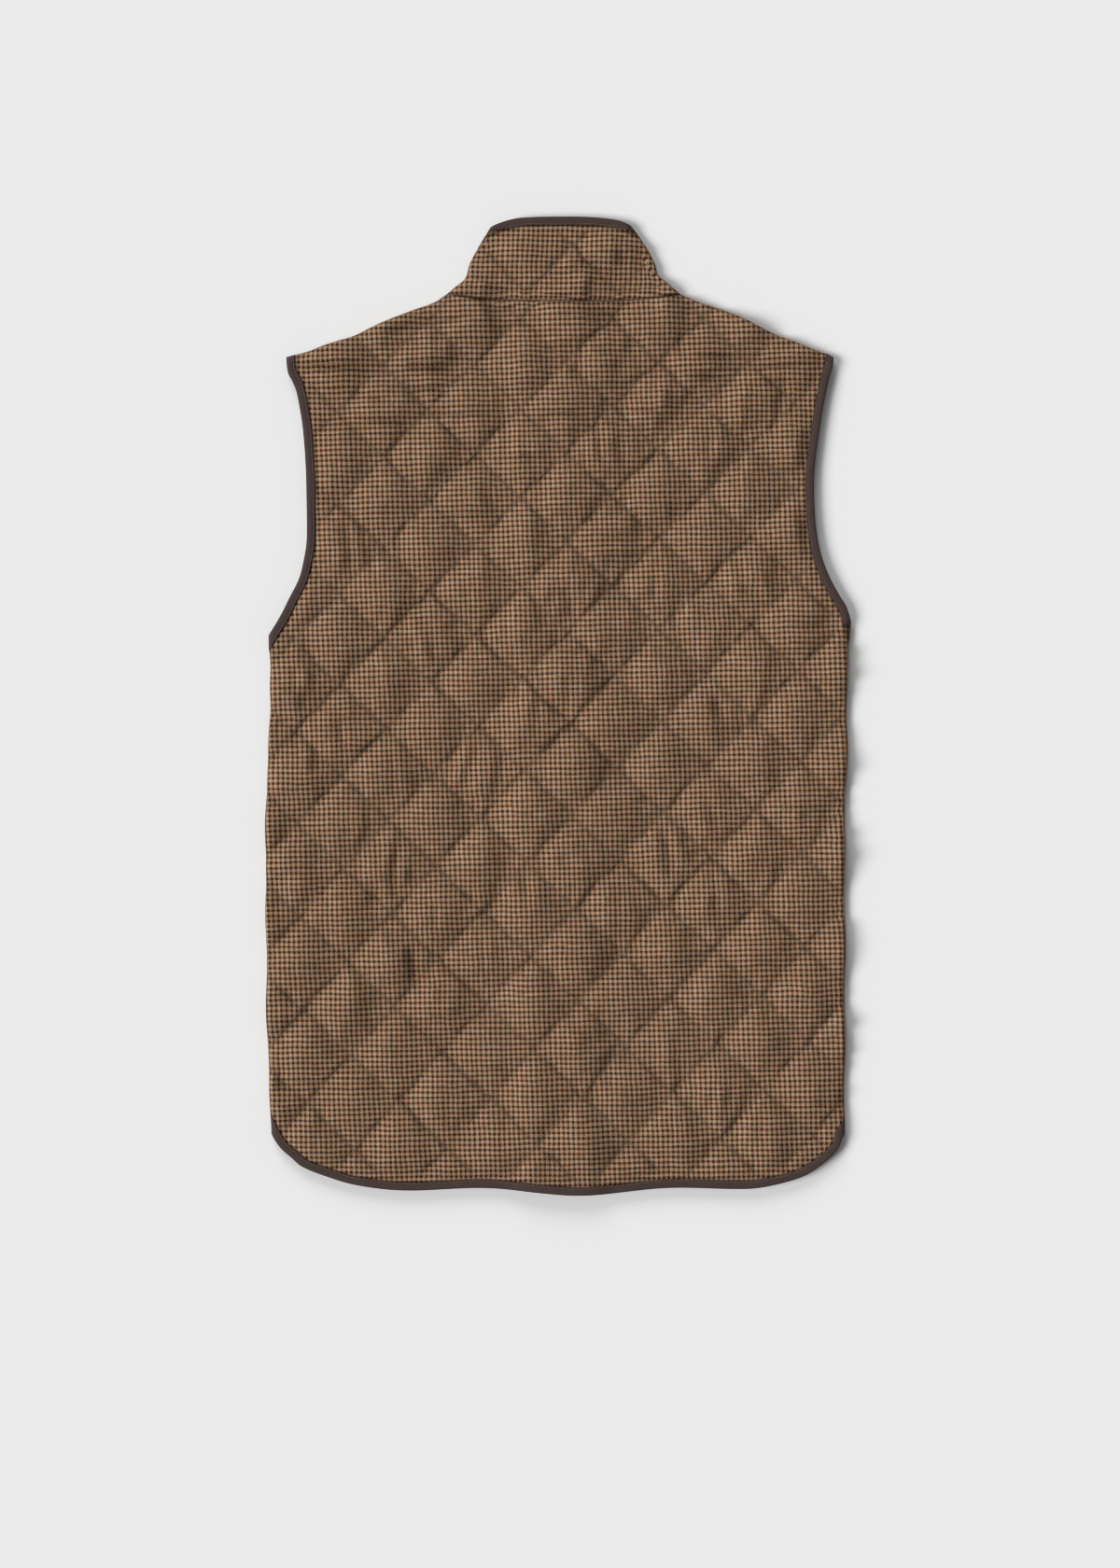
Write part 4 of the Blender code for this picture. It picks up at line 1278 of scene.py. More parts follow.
    def face(
        self, offsets: dict[EdgeKind, tuple[float, ...]], fine: bool,
    ) -> tuple[Array, Array, Faces, int]:
        """Lay out one face of the panel.

        Args:
            offsets: Distances of its rings.
            fine: True for the face that shows.

        Returns:
            Plan points, their inward normals, triangles anticlockwise from above, and a ring's size.
        """
        count = len(offsets[EdgeKind.BOUND])
        rings = [self.ring(offsets, i) for i in range(count)]
        size = len(rings[0][0])
        faces: Faces = []
        for i in range(count - 1):
            for j in range(size):
                k = (j + 1) % size
                faces.append((i * size + j, i * size + k, (i + 1) * size + k, (i + 1) * size + j))
        outline = rings[-1][0]
        extra = self.filling(outline, fine)
        loop = [(i, (i + 1) % size) for i in range(size)]
        flat = [Vector(point) for point in np.vstack([outline, extra])]
        _, _, triangles, origins, _, _ = delaunay_2d_cdt(flat, loop, [], 1, SAME_PLACE)
        places = [(count - 1) * size + origin[0] for origin in origins]
        faces += [tuple(places[v] for v in triangle) for triangle in triangles]
        points = np.vstack([ring[0] for ring in rings] + [extra])
        normals = np.vstack([ring[1] for ring in rings] + [np.zeros_like(extra)])
        return points, normals, faces, size

    def weave(self, plan: Array, normals: Array, heights: Array) -> Array:
        """Lay the points out on the flat cloth, rolled round the folds.

        Args:
            plan: Plan points.
            normals: Inward normals, none inside the rings.
            heights: The points' heights.

        Returns:
            Places on the flat cloth, in metres.
        """
        top = self.base(plan) + (self.cloth.stitched if self.upper else 0.0)
        drop = np.clip(top - heights if self.upper else heights - top, 0.0, self.longest_roll)
        flat = plan - normals * drop[:, None]
        shift = np.column_stack([
            self.waves(draw).over(plan, self.wander_size, self.wander_size)
            for draw in (Draw.WANDER_ACROSS, Draw.WANDER_ALONG)
        ])
        return flat + flat[:, ::-1] * np.array(self.grain) + shift * self.wander

    def painted_shade(self, points: Array) -> Array:
        """Find how far the grooves of seams and quilting keep the light out.

        Args:
            points: Plan points.

        Returns:
            A share for each point, from 0 to 1.
        """
        # All of this share is painted shade: it darkens the cloth's colour where the grooves, creases, seams
        # and bindings keep light out.
        form = self.shade
        butt = distance_to(points, self.curves(EdgeKind.BUTT))
        bound = distance_to(points, self.curves(EdgeKind.BOUND))
        quilted = np.zeros(len(points))
        for across in self.quilting.coordinates(points):
            away = (across - np.round(across)) * self.quilting.side / form.quilting_width
            quilted = np.maximum(quilted, np.exp(-away ** 2))
        share = np.maximum(form.quilting * quilted, self.creased(points)[1])
        share = share * smooth_step(bound, *self.cloth.pad_ends)
        share = np.maximum(share, form.butt * (1.0 - smooth_step(butt, *form.butt_ends)))
        return np.maximum(share, form.bound * (1.0 - smooth_step(bound, *form.bound_ends)))

    def build(self, finish: Material) -> Piece:
        """Make the panel.

        Args:
            finish: The cloth's material.

        Returns:
            The new object.
        """
        shown_plan, shown_normals, shown_faces, size = self.face(RINGS_FINE, True)
        hidden_plan, hidden_normals, hidden_faces, _ = self.face(RINGS_INSIDE, False)
        shown = np.column_stack([shown_plan, self.outer_height(shown_plan)])
        hidden = np.column_stack([hidden_plan, self.inner_height(hidden_plan)])
        shift = len(shown)
        faces = []
        if self.upper:
            faces += shown_faces
            faces += [tuple(shift + v for v in face[::-1]) for face in hidden_faces]
        else:
            faces += [face[::-1] for face in shown_faces]
            faces += [tuple(shift + v for v in face) for face in hidden_faces]
        for j in range(size):
            k = (j + 1) % size
            rim = (j, shift + j, shift + k, k)
            faces.append(rim if self.upper else rim[::-1])
        weave = np.vstack([
            self.weave(shown_plan, shown_normals, shown[:, 2]),
            self.weave(hidden_plan, hidden_normals, hidden[:, 2]),
        ])
        # Painted shade on the face that shows, none on the hidden face.
        painted_shade = np.concatenate([self.painted_shade(shown_plan), np.zeros(len(hidden))])
        points = np.vstack([shown, hidden])
        piece = make_object(f"{self.node}_cloth", points, faces, finish, weave, painted_shade)
        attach(piece, "root")
        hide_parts(self.node)
        return piece

    def outline(self) -> Array:
        """Draw the panel's whole outline."""
        return np.vstack([side.curve[:-1] for side in self.sides])

    def declare(
        self, piece: Piece, rests_on: list[str], with_pieces: list[Piece],
    ) -> None:
        """Do nothing with the panel, what it lies on or the pieces sewn on it.

        Args:
            piece: The panel. It is not used.
            rests_on: Names of what it lies on. It is not used.
            with_pieces: The separate pieces that are sewn on it. It is not used.
        """

    def stitch_lines(self) -> Gathered:
        """Lay the quilting stitches in the bottom of the grooves.

        Returns:
            The stitches' meshes.
        """
        gathered, thread, form = Gathered(), Thread(), self.stitches
        outline, reach = self.outline(), self.quilting.reach
        fine = np.linspace(-reach, reach, reach * 2 * form.steps + 1)
        bound, fold = self.curves(EdgeKind.BOUND), self.curves(EdgeKind.FOLD)
        butt = self.curves(EdgeKind.BUTT)
        rise = form.rise if self.upper else -form.rise
        for whole in range(-reach, reach + 1):
            for swap in (False, True):
                steady = np.full(len(fine), float(whole))
                shares = np.column_stack([fine, steady] if swap else [steady, fine])
                line = self.quilting.places(shares)
                inside = contains(outline, line)
                inside &= distance_to(line, bound) > form.bound
                inside &= distance_to(line, fold) > form.fold
                inside &= distance_to(line, butt) > form.butt
                for run in np.split(np.arange(len(line)), np.where(~inside)[0]):
                    run = run[inside[run]]
                    if len(run) < form.fewest:
                        continue
                    path = np.column_stack([line[run], self.outer_height(line[run]) + rise])
                    gathered.add(*thread.along(path if self.upper else path[::-1]))
        return gathered

    def sew(self, finish: Material) -> Piece:
        """Make the panel's quilting stitches.

        Args:
            finish: The thread's material.

        Returns:
            The new object.
        """
        piece = self.stitch_lines().make(f"{self.node}_stitches", finish)
        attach(piece, "root")
        return piece


# ---- The bindings ----
# Their section, from the inner edge on top round the edge to the one below. Columns: depth and
# level of the outer face, depth and level of the inner face.
TAPE_SECTION: Table = (
    (0.00705, 0.00335, 0.00690, 0.00315), (0.00708, 0.00375, 0.00650, 0.00318),
    (0.00680, 0.00398, 0.00620, 0.00320), (0.00630, 0.00392, 0.00600, 0.00320),
    (0.00585, 0.00362, 0.00580, 0.00320), (0.00540, 0.00388, 0.00520, 0.00325),
    (0.00470, 0.00404, 0.00450, 0.00330), (0.00330, 0.00410, 0.00330, 0.00332),
    (0.00190, 0.00404, 0.00200, 0.00330), (0.00080, 0.00378, 0.00120, 0.00315),
    (0.00018, 0.00320, 0.00085, 0.00290), (0.00000, 0.00240, 0.00075, 0.00230),
    (0.00000, 0.00160, 0.00075, 0.00170), (0.00018, 0.00080, 0.00085, 0.00110),
    (0.00080, 0.00022, 0.00120, 0.00085), (0.00190, 0.00000, 0.00200, 0.00070),
    (0.00330, 0.00000, 0.00330, 0.00068), (0.00470, 0.00000, 0.00450, 0.00070),
    (0.00540, 0.00012, 0.00520, 0.00075), (0.00585, 0.00038, 0.00580, 0.00080),
    (0.00630, 0.00008, 0.00600, 0.00080), (0.00680, 0.00002, 0.00620, 0.00080),
    (0.00708, 0.00025, 0.00650, 0.00082), (0.00705, 0.00065, 0.00690, 0.00085),
)
TAPE_THREAD = Thread(pitch=0.0034, length=0.0027, radius=0.00022)


@dataclass(frozen=True)
class TapeWaves:
    """How a binding's inner edge waves and its upper face rises and falls."""

    ripple: float = 0.00028
    ripple_length: float = 0.011
    ripple_ends: float = 0.012
    depths: Pair = (0.003, 0.006)
    bump: float = 0.00014
    bump_length: float = 0.008
    bump_above: float = 0.0025


@dataclass
class BindingTape:
    """A folded strip that closes one bound edge of a panel, with its row of stitches."""

    node: str
    panel: PanelCloth
    index: int
    seed: int
    waves: TapeWaves = TapeWaves()
    width: float = 0.0070
    spacing: float = 0.0030
    slant_fade: float = 0.026
    largest_slant: float = 1.6
    butt_fade: float = 0.003
    flattest: float = 0.22
    thinnest: float = 0.00002
    above_cloth: float = 0.0001
    stitch_depth: float = 0.0058
    stitch_end: float = 0.003
    stitch_step: float = 0.0008
    stitch_levels: Pair = (0.00372, 0.00024)
    taper: float = 0.0
    taper_reach: float = 0.022

    @property
    def side(self) -> Side:
        """The bound side of the panel."""
        return self.panel.sides[self.index]

    def end_slant(self, last: bool) -> float:
        """Find how far the tape's end leans along its edge, to follow the fold there.

        Args:
            last: True for the far end.

        Returns:
            Lean for each unit of depth.
        """
        sides = self.panel.sides
        _, normal = self.side.end(last)
        along = np.array([normal[1], -normal[0]])
        neighbour = sides[(self.index + 1) % len(sides)] if last else sides[self.index - 1]
        _, turned = neighbour.end(not last)
        fold = np.array([turned[1], -turned[0]]) if last else np.array([-turned[1], turned[0]])
        into = float(fold @ normal)
        limit = abs(into) * self.largest_slant
        return float(np.clip(fold @ along, -limit, limit)) / into

    def frame_at(self, stations: Array) -> tuple[Array, Array, Array]:
        """Find places, inward normals and lean along the tape.

        Args:
            stations: Distances along the side.

        Returns:
            Places, normals and the direction into the cloth with the ends' lean.
        """
        place, normal = self.side.at(stations)
        along = np.column_stack([normal[:, 1], -normal[:, 0]])
        sides = self.panel.sides
        for last in (False, True):
            neighbour = sides[(self.index + 1) % len(sides)] if last else sides[self.index - 1]
            if neighbour.kind is EdgeKind.BUTT:
                near = stations[-1] - stations if last else stations
                move = CLOTH.gap / 2 * np.maximum(1.0 - near / self.butt_fade, 0.0)
                place = place + along * (-move if last else move)[:, None]
        first = self.end_slant(False) * np.maximum(1.0 - stations / self.slant_fade, 0.0)
        last = self.end_slant(True) * np.maximum(1.0 - (self.side.length - stations) / self.slant_fade, 0.0)
        return place, normal, normal + along * (first + last)[:, None]

    def narrowing(self, stations: Array) -> Array:
        """Read how much narrower the tape looks towards its ends, where it rolls over the fold."""
        near = np.minimum(stations, self.side.length - stations)
        return self.taper * (1.0 - smooth_step(near, 0.0, self.taper_reach))

    def heights(self, plan: Array, levels: Array | float) -> Array:
        """Find the heights of levels of the section, which a fold flattens.

        Args:
            plan: Plan points.
            levels: Levels in the section.

        Returns:
            One height for each point.
        """
        fold = np.maximum(self.panel.folded(plan), self.flattest)
        base = self.panel.base(plan)
        if self.panel.upper:
            return base + levels * fold
        return base + CLOTH.plain - (CLOTH.plain - levels) * fold

    def build(self, finish: Material) -> Piece:
        """Make the tape.

        Args:
            finish: The tape's material.

        Returns:
            The new object.
        """
        count = max(3, round(self.side.length / self.spacing))
        stations = np.linspace(0.0, self.side.length, count + 1)
        place, _, into = self.frame_at(stations)
        profile = np.array(TAPE_SECTION)
        depths = np.concatenate([profile[:, 0], profile[::-1, 2]])
        levels = np.concatenate([profile[:, 1], profile[::-1, 3]])
        size, still = len(depths), np.zeros(len(stations))
        ripple = Waves(self.seed).at(stations / self.waves.ripple_length, still) * self.waves.ripple
        ripple *= smooth_step(stations, 0.0, self.waves.ripple_ends)
        ripple *= smooth_step(stations[-1] - stations, 0.0, self.waves.ripple_ends)
        wide = smooth_step(depths, *self.waves.depths)
        inward = depths[None, :] + (ripple - self.narrowing(stations))[:, None] * wide[None, :]
        plan = (place[:, None, :] + into[:, None, :] * inward[:, :, None]).reshape(-1, 2)
        bump = Waves(self.seed + 1).at(stations / self.waves.bump_length, still) * self.waves.bump
        on_top = (levels > self.waves.bump_above) * wide
        base, level = self.panel.base(plan), np.tile(levels, len(stations))
        if self.panel.upper:
            level = level + np.repeat(bump, size) * np.tile(on_top, len(stations))
            height = np.maximum(self.heights(plan, level), base + self.thinnest)
        else:
            height = np.clip(self.heights(plan, level), base, base + CLOTH.plain + self.above_cloth)
        points = np.column_stack([plan, height])
        faces: Faces = []
        for i in range(count):
            for j in range(size):
                k = (j + 1) % size
                faces.append((i * size + j, i * size + k, (i + 1) * size + k, (i + 1) * size + j))
        half = len(profile)
        for j in range(half - 1):
            cap = (j, j + 1, size - 2 - j, size - 1 - j)
            faces.append(cap[::-1])
            faces.append(tuple(count * size + v for v in cap))
        outside, inside = lengths_along(profile[:, :2]), lengths_along(profile[::-1, 2:])
        round_length = np.concatenate([outside, inside + self.cut_width])
        weave = np.column_stack([np.tile(round_length, len(stations)), np.repeat(stations, size)])
        piece = make_object(f"{self.node}_tape", points, faces, finish, weave)
        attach(piece, "root")
        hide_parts(self.node)
        LOG.info("%s: cut %.3f x %.3f m", piece.name, self.cut_width, self.side.length)
        return piece

    @property
    def cut_width(self) -> float:
        """Width of the flat strip between its two stitched edges."""
        return 2 * self.width + CLOTH.plain

    def stitch_rows(self) -> Gathered:
        """Lay the row of stitches on each face of the tape.

        Returns:
            The stitches' meshes.
        """
        gathered = Gathered()
        stations = np.arange(self.stitch_end, self.side.length - self.stitch_end, self.stitch_step)
        place, _, into = self.frame_at(stations)
        plan = place + into * (self.stitch_depth - self.narrowing(stations))[:, None]
        for level, below in zip(self.stitch_levels, (False, True)):
            path = np.column_stack([plan, self.heights(plan, level)])
            gathered.add(*TAPE_THREAD.along(path[::-1] if below else path))
        return gathered


# ---- Finishes ----
class Shader:
    """A material's nodes, made one after another."""

    def __init__(self, name: str) -> None:
        """Start a material.

        Args:
            name: The material's name.
        """
        self.material = bpy.data.materials.new(name)
        self.material.use_nodes = True
        self.nodes = self.material.node_tree.nodes
        self.links = self.material.node_tree.links
        self.surface = self.nodes["Principled BSDF"]

    def new(self, kind: str, **settings: object) -> bpy.types.Node:
        """Add a node.

        Args:
            kind: The node's type.
            settings: Its own settings.

        Returns:
            The node.
        """
        node = self.nodes.new(kind)
        for key, value in settings.items():
            setattr(node, key, value)
        return node

    def join(self, source: object, target: Socket) -> None:
        """Feed a socket from another socket or with a plain value.

        Args:
            source: The other socket or the value.
            target: The socket.
        """
        if isinstance(source, Socket):
            self.links.new(source, target)
        else:
            target.default_value = source

    def dress(self, values: dict[str, float | tuple[float, ...]]) -> None:
        """Set plain values on the surface's own sockets, by their names."""
        for name, value in values.items():
            self.surface.inputs[name].default_value = value

    def math(
        self, operation: str, first: object, second: object = 0.0, third: object = 0.0,
    ) -> Socket:
        """Add an arithmetic node.

        Args:
            operation: What it does.
            first: First number or socket.
            second: Second number or socket.
            third: Third number or socket.

        Returns:
            Its result.
        """
        node = self.new("ShaderNodeMath", operation=operation)
        for i, value in enumerate((first, second, third)):
            self.join(value, node.inputs[i])
        return node.outputs[0]

    def mix(self, share: object, first: object, second: object) -> Socket:
        """Mix two colours.

        Args:
            share: How much of the second.
            first: First colour or socket.
            second: Second colour or socket.

        Returns:
            The mixed colour.
        """
        node = self.new("ShaderNodeMix", data_type="RGBA")
        self.join(share, node.inputs["Factor"])
        for value, name in ((first, "A"), (second, "B")):
            socket = [s for s in node.inputs if s.name == name and s.type == "RGBA"][0]
            self.join((*value, 1.0) if isinstance(value, tuple) else value, socket)
        return [s for s in node.outputs if s.type == "RGBA"][0]

    def noise(
        self, place: object, scale: float, detail: float, roughness: float, output: str = "Fac",
    ) -> Socket:
        """Add smooth noise.

        Args:
            place: Where it is read.
            scale: Waves for each metre.
            detail: Finer octaves.
            roughness: Their strength.
            output: Which of the node's results.

        Returns:
            The noise, from 0 to 1.
        """
        node = self.new("ShaderNodeTexNoise")
        self.join(place, node.inputs["Vector"])
        node.inputs["Scale"].default_value = scale
        node.inputs["Detail"].default_value = detail
        node.inputs["Roughness"].default_value = roughness
        return node.outputs[output]

    def steps(self, value: object, stops: Stops) -> Socket:
        """Choose a colour by a number, in steps.

        Args:
            value: The number, from 0 to 1.
            stops: Where each colour begins.

        Returns:
            The colour.
        """
        node = self.new("ShaderNodeValToRGB")
        ramp = node.color_ramp
        ramp.interpolation = "CONSTANT"
        while len(ramp.elements) < len(stops):
            ramp.elements.new(1.0)
        for element, (position, color) in zip(ramp.elements, stops):
            element.position = position
            element.color = (*color, 1.0)
        self.join(value, node.inputs["Fac"])
        return node.outputs["Color"]

    def bump(self, height: object, distance: float, strength: float) -> Socket:
        """Raise the surface by a height.

        Args:
            height: The height, from 0 to 1.
            distance: What 1 stands for, in metres.
            strength: Share of it that is used.

        Returns:
            The new normal.
        """
        node = self.new("ShaderNodeBump")
        self.join(height, node.inputs["Height"])
        node.inputs["Distance"].default_value = distance
        node.inputs["Strength"].default_value = strength
        return node.outputs["Normal"]


@dataclass(frozen=True)
class TweedFinish:
    """Wool tweed in a small broken check: four dark and four light yarns each way in a 2/2 twill."""

    repeat: Pair = (0.00424, 0.00451)
    yarns: int = 8
    twill: Pair = (4.0, 2.0)
    light: Stops = (
        (0.00, (0.355, 0.228, 0.126)), (0.22, (0.433, 0.310, 0.202)), (0.42, (0.297, 0.190, 0.103)),
        (0.58, (0.384, 0.228, 0.141)), (0.74, (0.323, 0.221, 0.118)), (0.88, (0.415, 0.278, 0.187)),
    )
    rust: Stops = (
        (0.00, (0.044, 0.008, 0.006)), (0.25, (0.060, 0.013, 0.006)), (0.45, (0.032, 0.008, 0.006)),
        (0.62, (0.074, 0.017, 0.006)), (0.80, (0.037, 0.012, 0.006)), (0.92, (0.050, 0.008, 0.009)),
    )
    slate: Stops = (
        (0.00, (0.014, 0.010, 0.011)), (0.25, (0.019, 0.014, 0.011)), (0.45, (0.011, 0.009, 0.014)),
        (0.62, (0.023, 0.015, 0.010)), (0.80, (0.015, 0.013, 0.018)), (0.92, (0.022, 0.010, 0.011)),
    )
    slate_share: float = 0.85
    slate_rows: Pair = (4.0, 2.0)
    tint_stretch: float = 0.045
    weft_shift: float = 4096.5
    wobble: float = 0.0012
    wobble_noise: Triple = (70.0, 1.0, 0.5)
    fuzz_noise: Triple = (2600.0, 2.0, 0.6)
    fuzz_share: float = 0.06
    fuzz_color: Triple = (0.150, 0.078, 0.042)
    fuzz_height: float = 0.5
    patch_noise: Triple = (55.0, 2.0, 0.5)
    patch_spread: Pair = (0.12, 0.94)
    # How far the painted shade darkens the cloth's colour where it is fullest.
    painted_groove_shade: float = 0.75
    roughness: float = 0.92
    specular: float = 0.06
    sheen: float = 0.04
    sheen_roughness: float = 0.55
    sheen_tint: Triple = (0.75, 0.56, 0.40)
    bump_height: float = 0.00018
    bump_share: float = 0.8

    def chosen(self, s: Shader, over: object, warp: object, weft: object) -> Socket:
        """Take the warp's number where over is 1 and the warp lies on top, or else the weft's."""
        under = s.math("SUBTRACT", 1.0, over)
        return s.math("MULTIPLY_ADD", over, warp, s.math("MULTIPLY", under, weft))

    def first_of(self, s: Shader, yarn: object, repeat: float, count: float) -> Socket:
        """Give 1 for the first yarns, up to the count, of each repeat, and 0 for the rest."""
        return s.math("LESS_THAN", s.math("FLOORED_MODULO", yarn, repeat), count)

    def make(self, name: str) -> Material:
        """Make the finish.

        Args:
            name: The material's name.

        Returns:
            The material.
        """
        s = Shader(name)
        uv = s.new("ShaderNodeUVMap", uv_map="weave").outputs["UV"]
        moved = s.new("ShaderNodeVectorMath", operation="MULTIPLY_ADD")
        s.join(s.noise(uv, *self.wobble_noise, output="Color"), moved.inputs[0])
        moved.inputs[1].default_value = (self.wobble, self.wobble, 0.0)
        s.join(uv, moved.inputs[2])
        split = s.new("ShaderNodeSeparateXYZ")
        s.join(moved.outputs[0], split.inputs[0])
        across = s.math("DIVIDE", split.outputs["X"], self.repeat[0] / self.yarns)
        along = s.math("DIVIDE", split.outputs["Y"], self.repeat[1] / self.yarns)
        i, j = s.math("FLOOR", across), s.math("FLOOR", along)
        yarns = float(self.yarns)
        over = self.first_of(s, s.math("SUBTRACT", i, j), *self.twill)
        is_dark = self.chosen(
            s, over, self.first_of(s, i, yarns, yarns / 2), self.first_of(s, j, yarns, yarns / 2),
        )
        is_slate = self.chosen(
            s, over, self.first_of(s, i, yarns * self.slate_rows[0], yarns),
            self.first_of(s, j, yarns * self.slate_rows[1], yarns),
        )
        place = self.chosen(s, over, along, across)
        pair = s.new("ShaderNodeCombineXYZ")
        s.join(self.chosen(s, over, i, s.math("ADD", j, self.weft_shift)), pair.inputs[0])
        s.join(s.math("FLOOR", s.math("MULTIPLY", place, self.tint_stretch)), pair.inputs[1])
        tint = s.new("ShaderNodeTexWhiteNoise", noise_dimensions="2D")
        s.join(pair.outputs[0], tint.inputs["Vector"])
        light, rust, slate = (
            s.steps(tint.outputs["Value"], stops) for stops in (self.light, self.rust, self.slate)
        )
        dark = s.mix(s.math("MULTIPLY", is_slate, self.slate_share), rust, slate)
        color = s.mix(is_dark, light, dark)
        fuzz = s.noise(uv, *self.fuzz_noise)
        color = s.mix(s.math("MULTIPLY", fuzz, self.fuzz_share), color, self.fuzz_color)
        # Patchy tone that differs at random, darkened further by painted shade in the quilting grooves, the
        # creases, the seams and beside the bindings.
        shade = s.math("MULTIPLY_ADD", s.noise(uv, *self.patch_noise), *self.patch_spread)
        painted_shade = s.new("ShaderNodeAttribute", attribute_name="painted_shade").outputs["Fac"]
        shade = s.math("MULTIPLY", shade, s.math("MULTIPLY_ADD", painted_shade, -self.painted_groove_shade, 1.0))
        bright = s.new("ShaderNodeVectorMath", operation="SCALE")
        s.join(color, bright.inputs[0])
        s.join(shade, bright.inputs["Scale"])
        s.join(bright.outputs[0], s.surface.inputs["Base Color"])
        crest = self.chosen(s, over, s.math("PINGPONG", across, 0.5), s.math("PINGPONG", along, 0.5))
        height = s.math("MULTIPLY_ADD", fuzz, self.fuzz_height, crest)
        s.join(s.bump(height, self.bump_height, self.bump_share), s.surface.inputs["Normal"])
        s.dress({
            "Roughness": self.roughness, "Specular IOR Level": self.specular,
            "Sheen Weight": self.sheen, "Sheen Roughness": self.sheen_roughness,
            "Sheen Tint": (*self.sheen_tint, 1.0),
        })
        return s.material


@dataclass(frozen=True)
class TapeFinish:
    """Dark brown binding in a fine matt twill."""

    color: Triple = (0.038, 0.022, 0.019)
    worn: Triple = (0.070, 0.044, 0.038)
    rib: float = 0.00075
    rib_share: float = 0.35
    fuzz_noise: Triple = (2200.0, 2.0, 0.6)
    fuzz_height: float = 0.6
    patch_noise: Triple = (90.0, 3.0, 0.55)
    patch_share: float = 1.1
    roughness: float = 0.78
    specular: float = 0.30
    sheen: float = 0.18
    sheen_roughness: float = 0.45
    sheen_tint: Triple = (0.70, 0.60, 0.58)
    bump_height: float = 0.00010
    bump_share: float = 0.8

    def make(self, name: str) -> Material:
        """Make the finish.

        Args:
            name: The material's name.

        Returns:
            The material.
        """
        s = Shader(name)
        uv = s.new("ShaderNodeUVMap", uv_map="weave").outputs["UV"]
        split = s.new("ShaderNodeSeparateXYZ")
        s.join(uv, split.inputs[0])
        diagonal = s.math("ADD", split.outputs["X"], split.outputs["Y"])
        ribs = s.math("SINE", s.math("MULTIPLY", diagonal, 2 * math.pi / self.rib))
        ribs = s.math("MULTIPLY_ADD", ribs, 0.5, 0.5)
        fuzz, patch = s.noise(uv, *self.fuzz_noise), s.noise(uv, *self.patch_noise)
        share = s.math("MULTIPLY_ADD", ribs, self.rib_share, fuzz)
        share = s.math("MULTIPLY", share, s.math("MULTIPLY", patch, self.patch_share))
        s.join(s.mix(share, self.color, self.worn), s.surface.inputs["Base Color"])
        height = s.math("MULTIPLY_ADD", fuzz, self.fuzz_height, ribs)
        s.join(s.bump(height, self.bump_height, self.bump_share), s.surface.inputs["Normal"])
        s.dress({
            "Roughness": self.roughness, "Specular IOR Level": self.specular,
            "Sheen Weight": self.sheen, "Sheen Roughness": self.sheen_roughness,
            "Sheen Tint": (*self.sheen_tint, 1.0),
        })
        return s.material


@dataclass(frozen=True)
class ThreadFinish:
    """Twisted sewing thread."""

    color: Triple = (0.110, 0.068, 0.042)
    paler: Triple = (0.180, 0.118, 0.074)
    twist_noise: Triple = (3000.0, 1.0, 0.5)
    roughness: float = 0.70
    bump_height: float = 0.00006
    bump_share: float = 0.6

    def make(self, name: str) -> Material:
        """Make the finish.

        Args:
            name: The material's name.

        Returns:
            The material.
        """
        s = Shader(name)
        place = s.new("ShaderNodeTexCoord").outputs["Object"]
        twist = s.noise(place, *self.twist_noise)
        s.join(s.mix(twist, self.color, self.paler), s.surface.inputs["Base Color"])
        s.join(s.bump(twist, self.bump_height, self.bump_share), s.surface.inputs["Normal"])
        s.dress({"Roughness": self.roughness})
        return s.material


@dataclass(frozen=True)
class StudFinish:
    """Darkened brass with brighter worn places."""

    color: Triple = (0.090, 0.066, 0.044)
    worn: Triple = (0.330, 0.240, 0.130)
    scratch_noise: Triple = (900.0, 4.0, 0.7)
    patch_noise: Triple = (140.0, 2.0, 0.5)
    rough_scratches: Pair = (0.25, 0.25)
    metallic: float = 0.9
    bump_height: float = 0.00003
    bump_share: float = 0.4

    def make(self, name: str) -> Material:
        """Make the finish.

        Args:
            name: The material's name.

        Returns:
            The material.
        """
        s = Shader(name)
        place = s.new("ShaderNodeTexCoord").outputs["Object"]
        scratches, patch = s.noise(place, *self.scratch_noise), s.noise(place, *self.patch_noise)
        share = s.math("MULTIPLY", s.math("POWER", scratches, 2.0), patch)
        s.join(s.mix(share, self.color, self.worn), s.surface.inputs["Base Color"])
        s.join(s.math("MULTIPLY_ADD", scratches, *self.rough_scratches), s.surface.inputs["Roughness"])
        s.join(s.bump(scratches, self.bump_height, self.bump_share), s.surface.inputs["Normal"])
        s.dress({"Metallic": self.metallic})
        return s.material


